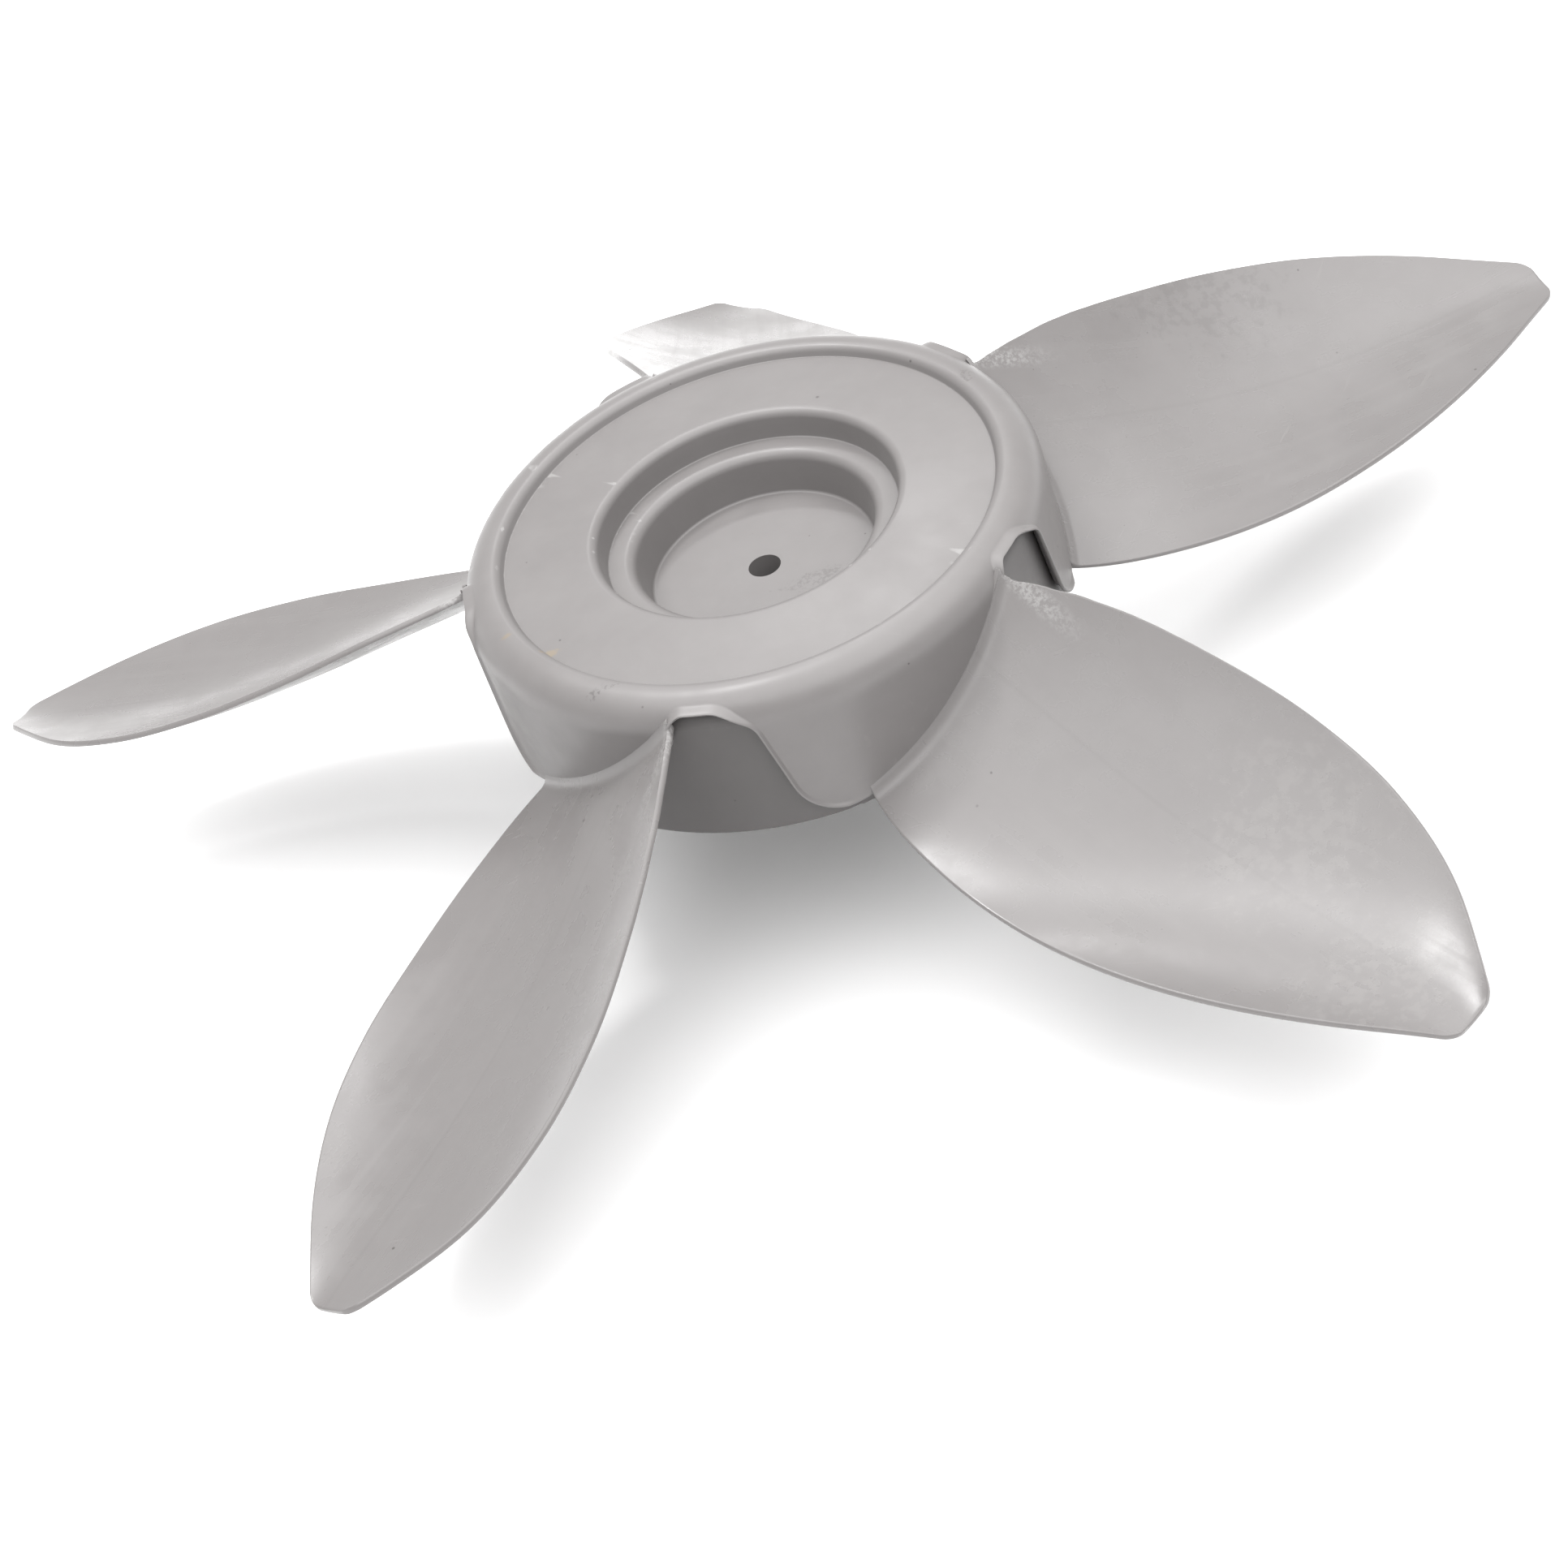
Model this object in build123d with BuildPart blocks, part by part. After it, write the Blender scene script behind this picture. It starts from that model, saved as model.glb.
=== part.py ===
# Five-blade moulded plastic propeller that turns freely on an 8 mm axle.
#
# Frame: millimetres, +Z along the axle towards the front of the hub.  The origin is on the axle's
# line, in the plane where the rear bearing's inner ring seats on the axle's shoulder.
# Blade 1 points towards +X and -Y, and the others follow anticlockwise as seen from the front.

import os
from math import asin, cos, degrees, radians, sin

from build123d import *

# ---------------------------------------------------------------- driving dimensions
BLADE_COUNT = 5

# Hub shell, seen from the front: a face ring with a raised rim, and a stepped well inside it.
HUB_R = 75.5            # outside of the skirt
RIM_W = 11.5            # width of the raised rim, from the crease to the outside of the skirt
RIM_RISE = 2.6          # rim's crown above the crease
RIM_ROUND = 8.6         # rounding from the rim's crown into the skirt
RIM_FLANK = 1.2         # width of the rim's inner flank
FLANK_ROUND = 2.6       # rounding from the flank into the rim's crown
CREASE_ROUND = 0.3
SHEET = 2.2             # wall of the moulding
FACE_LIFT = 1.8         # the face ring rises this much from the crease to the well's lip
WELL_R = 38.1           # first step of the well, at its foot
WELL_DRAFT = 1.5        # the first step opens this much towards its lip
LIP_ROUND = 2.5         # lip of the well
LEDGE_DROP = 5.7        # depth of the ledge below the crease
SHOULDER_R = 31.6       # top of the second step
SHOULDER_ROUND = 3.0
LEDGE_CORNER = 0.4
FLOOR_CORNER = 0.8
INSIDE_LEDGE_ROUND = 1.6
INSIDE_CORNER = 0.5
FLOOR_R = 29.4          # the well's flat floor
FLOOR_DROP = 16.9       # its depth below the crease
SKIRT_DROP = 36.8       # lowest line of the skirt's lobes below the crease
DRUM_DROP = 41.0        # rear face of the drum below the crease

# Axle, two ball bearings of size 608 and the sleeve between them
AXLE_R = 4.0
NECK_CLEARANCE = 0.25   # the shell's own hole clears the axle by this much all round
BEARING_R = 11.0
BEARING_W = 7.0
RING_T = 1.9            # thickness of each bearing ring, away from its groove
BALL_R = 1.98
BALL_COUNT = 7
RACE_CLEARANCE = 0.05
CAGE_T = 1.0
CAGE_W = 5.0
SHIELD_T = 0.4
SHIELD_INSET = 0.2
SHIELD_CLEARANCE = 0.25
SPACER_W = 3.5
SPACER_R = 5.8
HOUSING_WALL = 4.0      # wall of the bearing housings in the shell and in the drum
SHOULDER_W = 2.0        # width of the drum's shoulder behind each outer ring
NECK_LENGTH = 4.9       # solid neck between the well's floor and the front bearing
NECK_RELIEF = 0.4       # recess that keeps the neck off the bearing's inner ring

# Drum behind the shell
DRUM_GAP = 0.4          # radial gap to the inside of the skirt
DRUM_WALL = 2.0
DRUM_FLOOR = 2.2
DRUM_TOP_DROP = 1.2     # the drum's rim stops this far below the crease
DRUM_SHOULDER = 4.8     # its rim turns inwards with this rounding, under the shell's
RIB_W = 2.0
RIB_GAP = 0.8           # the ribs stop this far short of the shell's housing
CLIP_W = 1.0            # retaining ring behind the rear bearing
CLIP_DEPTH = 0.5        # how far it sits in its groove
CLIP_SECTION = 1.6
CLIP_GAP = 50.0         # degrees open
CLIP_PLAY = 0.1
CLIP_LUG_R = 1.4
CLIP_EYE_R = 0.6
HOUSING_TAIL = 2.5      # the rear housing runs on behind the bearing

# Screws that hold the drum to posts under the face ring
SCREW_INSET = 7.0       # screw circle inside the crease
SCREW_R = 1.6
SCREW_LENGTH = 16.0
SCREW_HEAD_R = 3.6
SCREW_HEAD_H = 2.2
SCREW_CLEARANCE = 0.5
SLOT_W = 0.9
SLOT_DEPTH = 1.2
POST_R = 4.5
WASHER_R = 4.5
WASHER_T = 0.8

# Arch cut in the skirt after each blade's upper edge, with a rolled lip round it.  Its places are
# counted along the skirt, in the plane that faces outward at the arch's middle.
ARCH_LEFT = -17.8       # high side of the arch, where the blade's upper edge starts
ARCH_BROW = -4.5        # the arch's top is level up to here, and then slopes down
ARCH_RIGHT = 3.0        # top of the arch's long side
ARCH_FOOT = 9.6         # where that side reaches the lobe's lowest line
ARCH_TOP = 0.3          # top of the opening above the crease
ARCH_SHOULDER = 5.5     # top of the long side below the crease
ARCH_CORNER = 4.0
ARCH_BROW_BEND = 9.0
ARCH_SHOULDER_BEND = 6.0
ARCH_FOOT_BEND = 14.0
ARCH_CUT_R = 67.0       # the arch is cut from here outwards, under the rim
LIP_W = 1.0             # width of the rolled lip
LIP_PROUD = 0.8         # it stands this far outside the skirt
LIP_TOP_R = 74.6        # under the rim the lip leans inwards, to here at the crown's level
LIP_ROOT_R = 70.6       # its inner side there, inside the rim's wall

# Blades
BLADE_LINE = -60.9      # degrees from +X to the first blade's own line
BLADE_REACH = 152.0     # from the skirt to the tip, along that line
BLADE_T = 1.5
TIP_ROUND = 3.0
TIP_SPARE = 0.6         # keeps the tip's trim outside the long edges
# Set that each blade has taken: droop half way along, droop at the tip, tilt at the tip (rise for each
# millimetre across the blade), and swing of the tip towards the upper edge.
BLADE_SET = {
    1: (-0.2, 1.9, -0.06, 0.5),
    2: (-0.5, -1.5, -0.04, 0.4),
    3: (15.8, 39.8, 0.26, 2.7),
    4: (-1.6, -1.0, 0.10, 2.2),
    5: (-2.9, -6.0, -0.08, 5.0),
}
ROOT_EDGE_Y = 19.0      # offset of the blade's upper edge where it leaves the skirt
ROOT_LOW_Y = 33.6       # offset of its lower edge there, on the other side
ROOT_COVER = 2.6        # the skirt runs on this far below the blades' upper faces
ROOT_CUT_R = 60.0       # the cut below each root starts here, clear of the screw posts
# Sections of a blade.  Each row gives the share of the reach, then for the upper edge and for the
# lower edge the offset across the blade's line and the depth below the crease, then the cup.
SECTIONS = (
    (-0.11, 13.0, 0.5, -28.0, 33.6, 2.4),
    (0.00, 19.8, 3.6, -34.2, 38.0, 3.6),
    (0.15, 28.0, 8.2, -38.4, 42.4, 6.0),
    (0.33, 34.2, 16.6, -39.4, 45.9, 8.0),
    (0.51, 37.0, 25.4, -36.6, 47.1, 8.4),
    (0.68, 34.4, 33.6, -29.8, 47.9, 6.6),
    (0.84, 24.8, 41.2, -19.0, 49.1, 3.6),
    (0.94, 13.8, 45.4, -10.2, 50.1, 1.6),
    (1.00, 6.4, 47.6, -4.8, 50.9, 0.7),
)

# ---------------------------------------------------------------- levels and radii from them
SECTOR = 360 / BLADE_COUNT
SEAT_Z = BEARING_W                          # front face of the rear bearing
FRONT_Z = SEAT_Z + SPACER_W                 # rear face of the front bearing
NECK_Z = FRONT_Z + BEARING_W                # its front face
NECK_HOLE_R = AXLE_R + NECK_CLEARANCE
UNDER_FLOOR_Z = NECK_Z + NECK_LENGTH
FLOOR_Z = UNDER_FLOOR_Z + SHEET
CREASE_Z = FLOOR_Z + FLOOR_DROP
SKIRT_Z = CREASE_Z - SKIRT_DROP
CROWN_Z = CREASE_Z + RIM_RISE
SKIRT_TOP_Z = CROWN_Z - RIM_ROUND           # the rim's rounding starts here
DRUM_Z = CREASE_Z - DRUM_DROP
DRUM_INSIDE_Z = DRUM_Z + DRUM_FLOOR
DRUM_TOP_Z = CREASE_Z - DRUM_TOP_DROP
CREASE_R = HUB_R - RIM_W
SKIRT_IN_R = HUB_R - SHEET
DRUM_R = SKIRT_IN_R - DRUM_GAP
DRUM_IN_R = DRUM_R - DRUM_WALL
HOUSING_R = BEARING_R + HOUSING_WALL
SCREW_CIRCLE_R = CREASE_R - SCREW_INSET
SCREW_START = BLADE_LINE + SECTOR / 2
BALL_CIRCLE_R = (AXLE_R + BEARING_R) / 2
RACE_R = BALL_R + RACE_CLEARANCE
ARCH_LINE = BLADE_LINE + degrees(asin(ROOT_EDGE_Y / HUB_R) + asin(-ARCH_LEFT / HUB_R))
LOBE_ANGLE = BLADE_LINE + SECTOR - degrees(asin(ROOT_LOW_Y / HUB_R)) - ARCH_LINE
LOBE_END = HUB_R * sin(radians(LOBE_ANGLE))
FAR = 3 * HUB_R                             # longer than any cut needs

os.makedirs("parts", exist_ok=True)


def finish(piece, name):
    """Labels a finished piece and writes it as one STEP file."""
    piece.part.label = name
    export_step(piece.part, f"parts/{name}.step")


def outward(angle, out=0.0):
    """The plane that faces outward at this angle, with its own Y axis along +Z from the crease."""
    ray = Vector(cos(radians(angle)), sin(radians(angle)), 0)
    across = Vector(-sin(radians(angle)), cos(radians(angle)), 0)
    return Plane(origin=(ray.X * out, ray.Y * out, CREASE_Z), x_dir=across, z_dir=ray)


def outer_profile():
    """Outside of the shell from the neck to the foot of the skirt, as radius and height."""
    FilletPolyline(
        (NECK_HOLE_R, FLOOR_Z),
        (FLOOR_R, FLOOR_Z),
        (SHOULDER_R, CREASE_Z - LEDGE_DROP),
        (WELL_R, CREASE_Z - LEDGE_DROP),
        (WELL_R + WELL_DRAFT, CREASE_Z + FACE_LIFT),
        (CREASE_R, CREASE_Z),
        (CREASE_R + RIM_FLANK, CROWN_Z),
        (HUB_R, CROWN_Z),
        (HUB_R, SKIRT_Z),
        radius=(
            FLOOR_CORNER,
            SHOULDER_ROUND,
            LEDGE_CORNER,
            LIP_ROUND,
            CREASE_ROUND,
            FLANK_ROUND,
            RIM_ROUND,
        ),
    )


def inner_profile():
    """Inside of the shell, one sheet away from the outside."""
    FilletPolyline(
        (NECK_HOLE_R, UNDER_FLOOR_Z),
        (FLOOR_R + SHEET, UNDER_FLOOR_Z),
        (SHOULDER_R + SHEET, CREASE_Z - LEDGE_DROP - SHEET),
        (WELL_R + SHEET, CREASE_Z - LEDGE_DROP - SHEET),
        (WELL_R + WELL_DRAFT + SHEET, CREASE_Z + FACE_LIFT - SHEET),
        (CREASE_R, CREASE_Z - SHEET),
        (CREASE_R + RIM_FLANK, CROWN_Z - SHEET),
        (SKIRT_IN_R, CROWN_Z - SHEET),
        (SKIRT_IN_R, SKIRT_Z),
        radius=(
            FLOOR_CORNER + SHEET,
            SHOULDER_ROUND - SHEET,
            INSIDE_LEDGE_ROUND,
            INSIDE_CORNER,
            INSIDE_CORNER,
            INSIDE_CORNER,
            RIM_ROUND - SHEET,
        ),
    )


def taken_set(number, share):
    """How far a blade's section has dropped, tilted and swung at this share of the reach."""
    half_droop, tip_droop, tilt, swing = BLADE_SET[number]
    out = max(share, 0)
    droop = (8 * half_droop - tip_droop) * out**2 + (2 * tip_droop - 8 * half_droop) * out**3
    return droop, tilt * out**2, swing * out**2


def arch_outline():
    """The opening beside a blade, down to the lowest line of the lobe."""
    FilletPolyline(
        (ARCH_LEFT, -FAR),
        (ARCH_LEFT, ARCH_TOP),
        (ARCH_BROW, ARCH_TOP),
        (ARCH_RIGHT, -ARCH_SHOULDER),
        (ARCH_FOOT, -SKIRT_DROP),
        (LOBE_END, -SKIRT_DROP),
        (LOBE_END, -FAR),
        radius=(0, ARCH_CORNER, ARCH_BROW_BEND, ARCH_SHOULDER_BEND, ARCH_FOOT_BEND, 0, 0),
        close=True,
    )


# ---------------------------------------------------------------- hub shell
with BuildSketch(outward(ARCH_LINE, ARCH_CUT_R)) as arch:
    with BuildLine():
        arch_outline()
    make_face()

with BuildSketch(outward(ARCH_LINE, ARCH_CUT_R)) as lip_band:
    with BuildLine():
        arch_outline()
    make_face()
    offset(amount=LIP_W)
    with BuildLine():
        arch_outline()
    make_face(mode=Mode.SUBTRACT)
    with Locations(((ARCH_LEFT - LIP_W + LOBE_END) / 2, 0)):
        Rectangle(LOBE_END - ARCH_LEFT + LIP_W, 2 * SKIRT_DROP, mode=Mode.INTERSECT)

with BuildPart() as arch_cut:
    extrude(arch.sketch, amount=HUB_R)

# The skirt ends a little below the blade's root, so that the blade's end lies against it.
_, _, root_high_drop, _, _, root_cup = SECTIONS[1]
root_low = (-ROOT_LOW_Y, -SKIRT_DROP)
root_high = (ROOT_EDGE_Y + LIP_W, -root_high_drop - ROOT_COVER)
root_middle = ((root_low[0] + root_high[0]) / 2, (root_low[1] + root_high[1]) / 2 - root_cup)
with BuildSketch(outward(BLADE_LINE, ROOT_CUT_R)) as below_root:
    with BuildLine():
        ThreePointArc(root_low, root_middle, root_high)
        Polyline(root_high, (root_high[0], -FAR), (root_low[0], -FAR), root_low)
    make_face()
with BuildPart() as root_cut:
    extrude(below_root.sketch, amount=HUB_R)

with BuildPart() as rolled_lip:
    with BuildSketch(Plane.XZ):
        with BuildLine():
            Polyline(
                (SKIRT_IN_R, SKIRT_Z),
                (HUB_R + LIP_PROUD, SKIRT_Z),
                (HUB_R + LIP_PROUD, SKIRT_TOP_Z),
                (LIP_TOP_R, CROWN_Z),
                (LIP_ROOT_R, CROWN_Z),
                (SKIRT_IN_R, SKIRT_TOP_Z),
                close=True,
            )
        make_face()
    revolve(axis=Axis.Z)
    extrude(lip_band.sketch, amount=HUB_R, mode=Mode.INTERSECT)
    add(root_cut.part, mode=Mode.SUBTRACT)

with BuildPart() as hub_shell:
    with BuildSketch(Plane.XZ):
        with BuildLine():
            outer_profile()
            Polyline((HUB_R, SKIRT_Z), (NECK_HOLE_R, SKIRT_Z), (NECK_HOLE_R, FLOOR_Z))
        make_face()
        with BuildLine():
            inner_profile()
            Polyline((SKIRT_IN_R, SKIRT_Z), (NECK_HOLE_R, SKIRT_Z), (NECK_HOLE_R, UNDER_FLOOR_Z))
        make_face(mode=Mode.SUBTRACT)
    revolve(axis=Axis.Z)
    with PolarLocations(0, BLADE_COUNT):
        add(arch_cut.part, mode=Mode.SUBTRACT)
        add(root_cut.part, mode=Mode.SUBTRACT)
        add(rolled_lip.part)
    # housing of the front bearing, under the well's floor
    with BuildSketch(Plane.XY.offset(FRONT_Z)):
        Circle(HOUSING_R)
    extrude(amount=UNDER_FLOOR_Z - FRONT_Z)
    with BuildSketch(Plane.XY.offset(FRONT_Z)):
        Circle(BEARING_R)
    extrude(amount=BEARING_W, mode=Mode.SUBTRACT)
    with BuildSketch(Plane.XY.offset(NECK_Z)):
        Circle(BEARING_R - SHOULDER_W)
    extrude(amount=NECK_RELIEF, mode=Mode.SUBTRACT)
    with BuildSketch(Plane.XY.offset(NECK_Z)):
        Circle(NECK_HOLE_R)
    extrude(amount=FLOOR_Z - NECK_Z, mode=Mode.SUBTRACT)
    # posts for the drum's screws
    with BuildSketch(Plane.XY.offset(DRUM_INSIDE_Z)):
        with PolarLocations(SCREW_CIRCLE_R, BLADE_COUNT, start_angle=SCREW_START):
            Circle(POST_R)
    extrude(amount=CREASE_Z - SHEET / 2 - DRUM_INSIDE_Z)
    with BuildSketch(Plane.XY.offset(DRUM_INSIDE_Z)):
        with PolarLocations(SCREW_CIRCLE_R, BLADE_COUNT, start_angle=SCREW_START):
            Circle(SCREW_R)
    extrude(amount=SCREW_LENGTH, mode=Mode.SUBTRACT)
finish(hub_shell, "hub_shell")

# ---------------------------------------------------------------- blades
with BuildPart() as hub_envelope:
    with BuildSketch(Plane.XZ):
        with BuildLine():
            outer_profile()
            Polyline((HUB_R, SKIRT_Z), (HUB_R, -FAR), (NECK_HOLE_R, -FAR), (NECK_HOLE_R, FLOOR_Z))
        make_face()
    revolve(axis=Axis.Z)
    with PolarLocations(0, BLADE_COUNT):
        add(rolled_lip.part)

for number in range(1, BLADE_COUNT + 1):
    line = BLADE_LINE + SECTOR * (number - 1)
    with BuildPart() as blade:
        for share, high_y, high_drop, low_y, low_drop, cup in SECTIONS:
            droop, tilt, swing = taken_set(number, share)
            high = Vector(high_y + swing, -high_drop - droop + tilt * high_y)
            low = Vector(low_y + swing, -low_drop - droop + tilt * low_y)
            down = (high - low).rotate(Axis.Z, -90).normalized()
            middle = (high + low) / 2 + down * cup
            skin = down * BLADE_T
            with BuildSketch(outward(line, HUB_R + share * BLADE_REACH)):
                with BuildLine():
                    ThreePointArc(low, middle, high)
                    Line(high, high + skin)
                    ThreePointArc(high + skin, middle + skin, low + skin)
                    Line(low + skin, low)
                make_face()
        loft()
        # the clipped tip has rounded corners in plan
        with BuildSketch(Plane(origin=(0, 0, -FAR), x_dir=outward(line).z_dir, z_dir=(0, 0, 1))):
            near, tip = SECTIONS[-2], SECTIONS[-1]
            near_x, tip_x = HUB_R + near[0] * BLADE_REACH, HUB_R + tip[0] * BLADE_REACH
            _, _, near_swing = taken_set(number, near[0])
            _, _, tip_swing = taken_set(number, tip[0])
            near_high = (near_x, near[1] + near_swing + TIP_SPARE)
            near_low = (near_x, near[3] + near_swing - TIP_SPARE)
            tip_high, tip_low = (tip_x, tip[1] + tip_swing), (tip_x, tip[3] + tip_swing)
            with BuildLine():
                FilletPolyline(near_high, tip_high, tip_low, near_low, radius=TIP_ROUND)
                Polyline(near_low, (0, -FAR), (0, FAR), near_high)
            make_face()
        extrude(amount=2 * FAR, mode=Mode.INTERSECT)
        add(hub_envelope.part, mode=Mode.SUBTRACT)
    finish(blade, f"blade_{number}")

# ---------------------------------------------------------------- inner drum
with BuildPart() as drum_hollow:
    with BuildSketch(Plane.XY.offset(DRUM_INSIDE_Z)):
        Circle(DRUM_IN_R)
    extrude(amount=DRUM_TOP_Z - DRUM_WALL - DRUM_INSIDE_Z)
    fillet(drum_hollow.edges().group_by(Axis.Z)[-1], radius=DRUM_SHOULDER - DRUM_WALL)
    with BuildSketch(Plane.XY.offset(DRUM_INSIDE_Z)):
        Circle(DRUM_R - DRUM_SHOULDER - DRUM_WALL)
    extrude(amount=DRUM_TOP_Z - DRUM_INSIDE_Z)

with BuildPart() as inner_drum:
    with BuildSketch(Plane.XY.offset(DRUM_Z)):
        Circle(DRUM_R)
    extrude(amount=DRUM_TOP_Z - DRUM_Z)
    fillet(inner_drum.edges().group_by(Axis.Z)[0], radius=DRUM_WALL / 2)
    fillet(inner_drum.edges().group_by(Axis.Z)[-1], radius=DRUM_SHOULDER)
    add(drum_hollow.part, mode=Mode.SUBTRACT)
    # ribs from the housing to the wall, between the screw posts
    with BuildSketch(Plane.XY.offset(DRUM_INSIDE_Z)):
        with PolarLocations((HOUSING_R + DRUM_IN_R) / 2, BLADE_COUNT, start_angle=BLADE_LINE):
            Rectangle(DRUM_IN_R - HOUSING_R + DRUM_WALL, RIB_W)
    extrude(amount=FRONT_Z - RIB_GAP - DRUM_INSIDE_Z)
    # housing of the rear bearing
    with BuildSketch(Plane.XY.offset(-HOUSING_TAIL)):
        Circle(HOUSING_R)
    extrude(amount=FRONT_Z + HOUSING_TAIL)
    with BuildSketch(Plane.XY.offset(-HOUSING_TAIL)):
        Circle(BEARING_R)
    extrude(amount=SEAT_Z + HOUSING_TAIL, mode=Mode.SUBTRACT)
    with BuildSketch(Plane.XY.offset(SEAT_Z)):
        Circle(BEARING_R - SHOULDER_W)
    extrude(amount=SPACER_W, mode=Mode.SUBTRACT)
    with BuildSketch(Plane.XY.offset(-CLIP_W - CLIP_PLAY)):
        Circle(BEARING_R + CLIP_DEPTH)
    extrude(amount=CLIP_W + CLIP_PLAY, mode=Mode.SUBTRACT)
    with BuildSketch(Plane.XY.offset(DRUM_Z)):
        with PolarLocations(SCREW_CIRCLE_R, BLADE_COUNT, start_angle=SCREW_START):
            Circle(SCREW_R + SCREW_CLEARANCE)
    extrude(amount=DRUM_FLOOR, mode=Mode.SUBTRACT)
finish(inner_drum, "inner_drum")

# ---------------------------------------------------------------- bearings
for place, rear_z in (("front", FRONT_Z), ("rear", 0.0)):
    middle_z = rear_z + BEARING_W / 2

    with BuildPart() as inner_ring:
        with BuildSketch(Plane.XZ):
            with Locations((AXLE_R + RING_T / 2, middle_z)):
                Rectangle(RING_T, BEARING_W)
            with Locations((BALL_CIRCLE_R, middle_z)):
                Circle(RACE_R, mode=Mode.SUBTRACT)
        revolve(axis=Axis.Z)
    finish(inner_ring, f"{place}_inner_ring")

    with BuildPart() as outer_ring:
        with BuildSketch(Plane.XZ):
            with Locations((BEARING_R - RING_T / 2, middle_z)):
                Rectangle(RING_T, BEARING_W)
            with Locations((BALL_CIRCLE_R, middle_z)):
                Circle(RACE_R, mode=Mode.SUBTRACT)
        revolve(axis=Axis.Z)
    finish(outer_ring, f"{place}_outer_ring")

    with BuildPart(Plane.XY.offset(middle_z)) as balls:
        with PolarLocations(BALL_CIRCLE_R, BALL_COUNT):
            Sphere(BALL_R)
    finish(balls, f"{place}_balls")

    with BuildSketch(Plane.YZ) as pocket:
        with Locations((0, middle_z)):
            Circle(BALL_R + 2 * RACE_CLEARANCE)
    with BuildPart() as pocket_cut:
        extrude(pocket.sketch, amount=BEARING_R)
    with BuildPart() as cage:
        with BuildSketch(Plane.XY.offset(middle_z - CAGE_W / 2)):
            Circle(BALL_CIRCLE_R + CAGE_T / 2)
            Circle(BALL_CIRCLE_R - CAGE_T / 2, mode=Mode.SUBTRACT)
        extrude(amount=CAGE_W)
        with PolarLocations(0, BALL_COUNT):
            add(pocket_cut.part, mode=Mode.SUBTRACT)
    finish(cage, f"{place}_cage")

    with BuildPart() as shields:
        for level in (rear_z + SHIELD_INSET, rear_z + BEARING_W - SHIELD_INSET - SHIELD_T):
            with BuildSketch(Plane.XY.offset(level)):
                Circle(BEARING_R - RING_T)
                Circle(AXLE_R + RING_T + SHIELD_CLEARANCE, mode=Mode.SUBTRACT)
            extrude(amount=SHIELD_T)
    finish(shields, f"{place}_shields")

with BuildPart() as spacer_sleeve:
    with BuildSketch(Plane.XY.offset(SEAT_Z)):
        Circle(SPACER_R)
        Circle(AXLE_R, mode=Mode.SUBTRACT)
    extrude(amount=SPACER_W)
finish(spacer_sleeve, "spacer_sleeve")

with BuildPart() as retaining_ring:
    clip_out_r = BEARING_R + CLIP_DEPTH - CLIP_PLAY
    with BuildSketch(Plane.XY.offset(-CLIP_W)):
        Circle(clip_out_r)
        Circle(clip_out_r - CLIP_SECTION, mode=Mode.SUBTRACT)
        with BuildLine():
            Polyline(
                (0, 0),
                (FAR * cos(radians(CLIP_GAP / 2)), FAR * sin(radians(CLIP_GAP / 2))),
                (FAR * cos(radians(CLIP_GAP / 2)), -FAR * sin(radians(CLIP_GAP / 2))),
                (0, 0),
            )
        make_face(mode=Mode.SUBTRACT)
        # lugs with eyes for the pliers
        for side in (-1, 1):
            with PolarLocations(clip_out_r - CLIP_SECTION, 1, start_angle=side * CLIP_GAP / 2):
                Circle(CLIP_LUG_R)
                Circle(CLIP_EYE_R, mode=Mode.SUBTRACT)
    extrude(amount=CLIP_W)
finish(retaining_ring, "retaining_ring")

# ---------------------------------------------------------------- drum screws
with BuildPart() as drum_washers:
    with BuildSketch(Plane.XY.offset(DRUM_Z - WASHER_T)):
        with PolarLocations(SCREW_CIRCLE_R, BLADE_COUNT, start_angle=SCREW_START):
            Circle(WASHER_R)
            Circle(SCREW_R + SCREW_CLEARANCE, mode=Mode.SUBTRACT)
    extrude(amount=WASHER_T)
finish(drum_washers, "drum_washers")

head_z = DRUM_Z - WASHER_T
with BuildPart() as drum_screws:
    with BuildSketch(Plane.XY.offset(head_z)):
        with PolarLocations(SCREW_CIRCLE_R, BLADE_COUNT, start_angle=SCREW_START):
            Circle(SCREW_HEAD_R)
    extrude(amount=-SCREW_HEAD_H)
    fillet(drum_screws.edges().group_by(Axis.Z)[0], radius=SCREW_HEAD_H / 2)
    with BuildSketch(Plane.XY.offset(head_z - SCREW_HEAD_H)):
        with PolarLocations(SCREW_CIRCLE_R, BLADE_COUNT, start_angle=SCREW_START):
            Rectangle(SCREW_HEAD_R, SLOT_W)
            Rectangle(SLOT_W, SCREW_HEAD_R)
    extrude(amount=SLOT_DEPTH, mode=Mode.SUBTRACT)
    with BuildSketch(Plane.XY.offset(head_z)):
        with PolarLocations(SCREW_CIRCLE_R, BLADE_COUNT, start_angle=SCREW_START):
            Circle(SCREW_R)
    extrude(amount=SCREW_LENGTH)
    chamfer(drum_screws.edges().group_by(Axis.Z)[-1], length=SCREW_R / 2)
finish(drum_screws, "drum_screws")
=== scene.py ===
import math

import bpy
import numpy as np
from mathutils import Matrix, Vector


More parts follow.
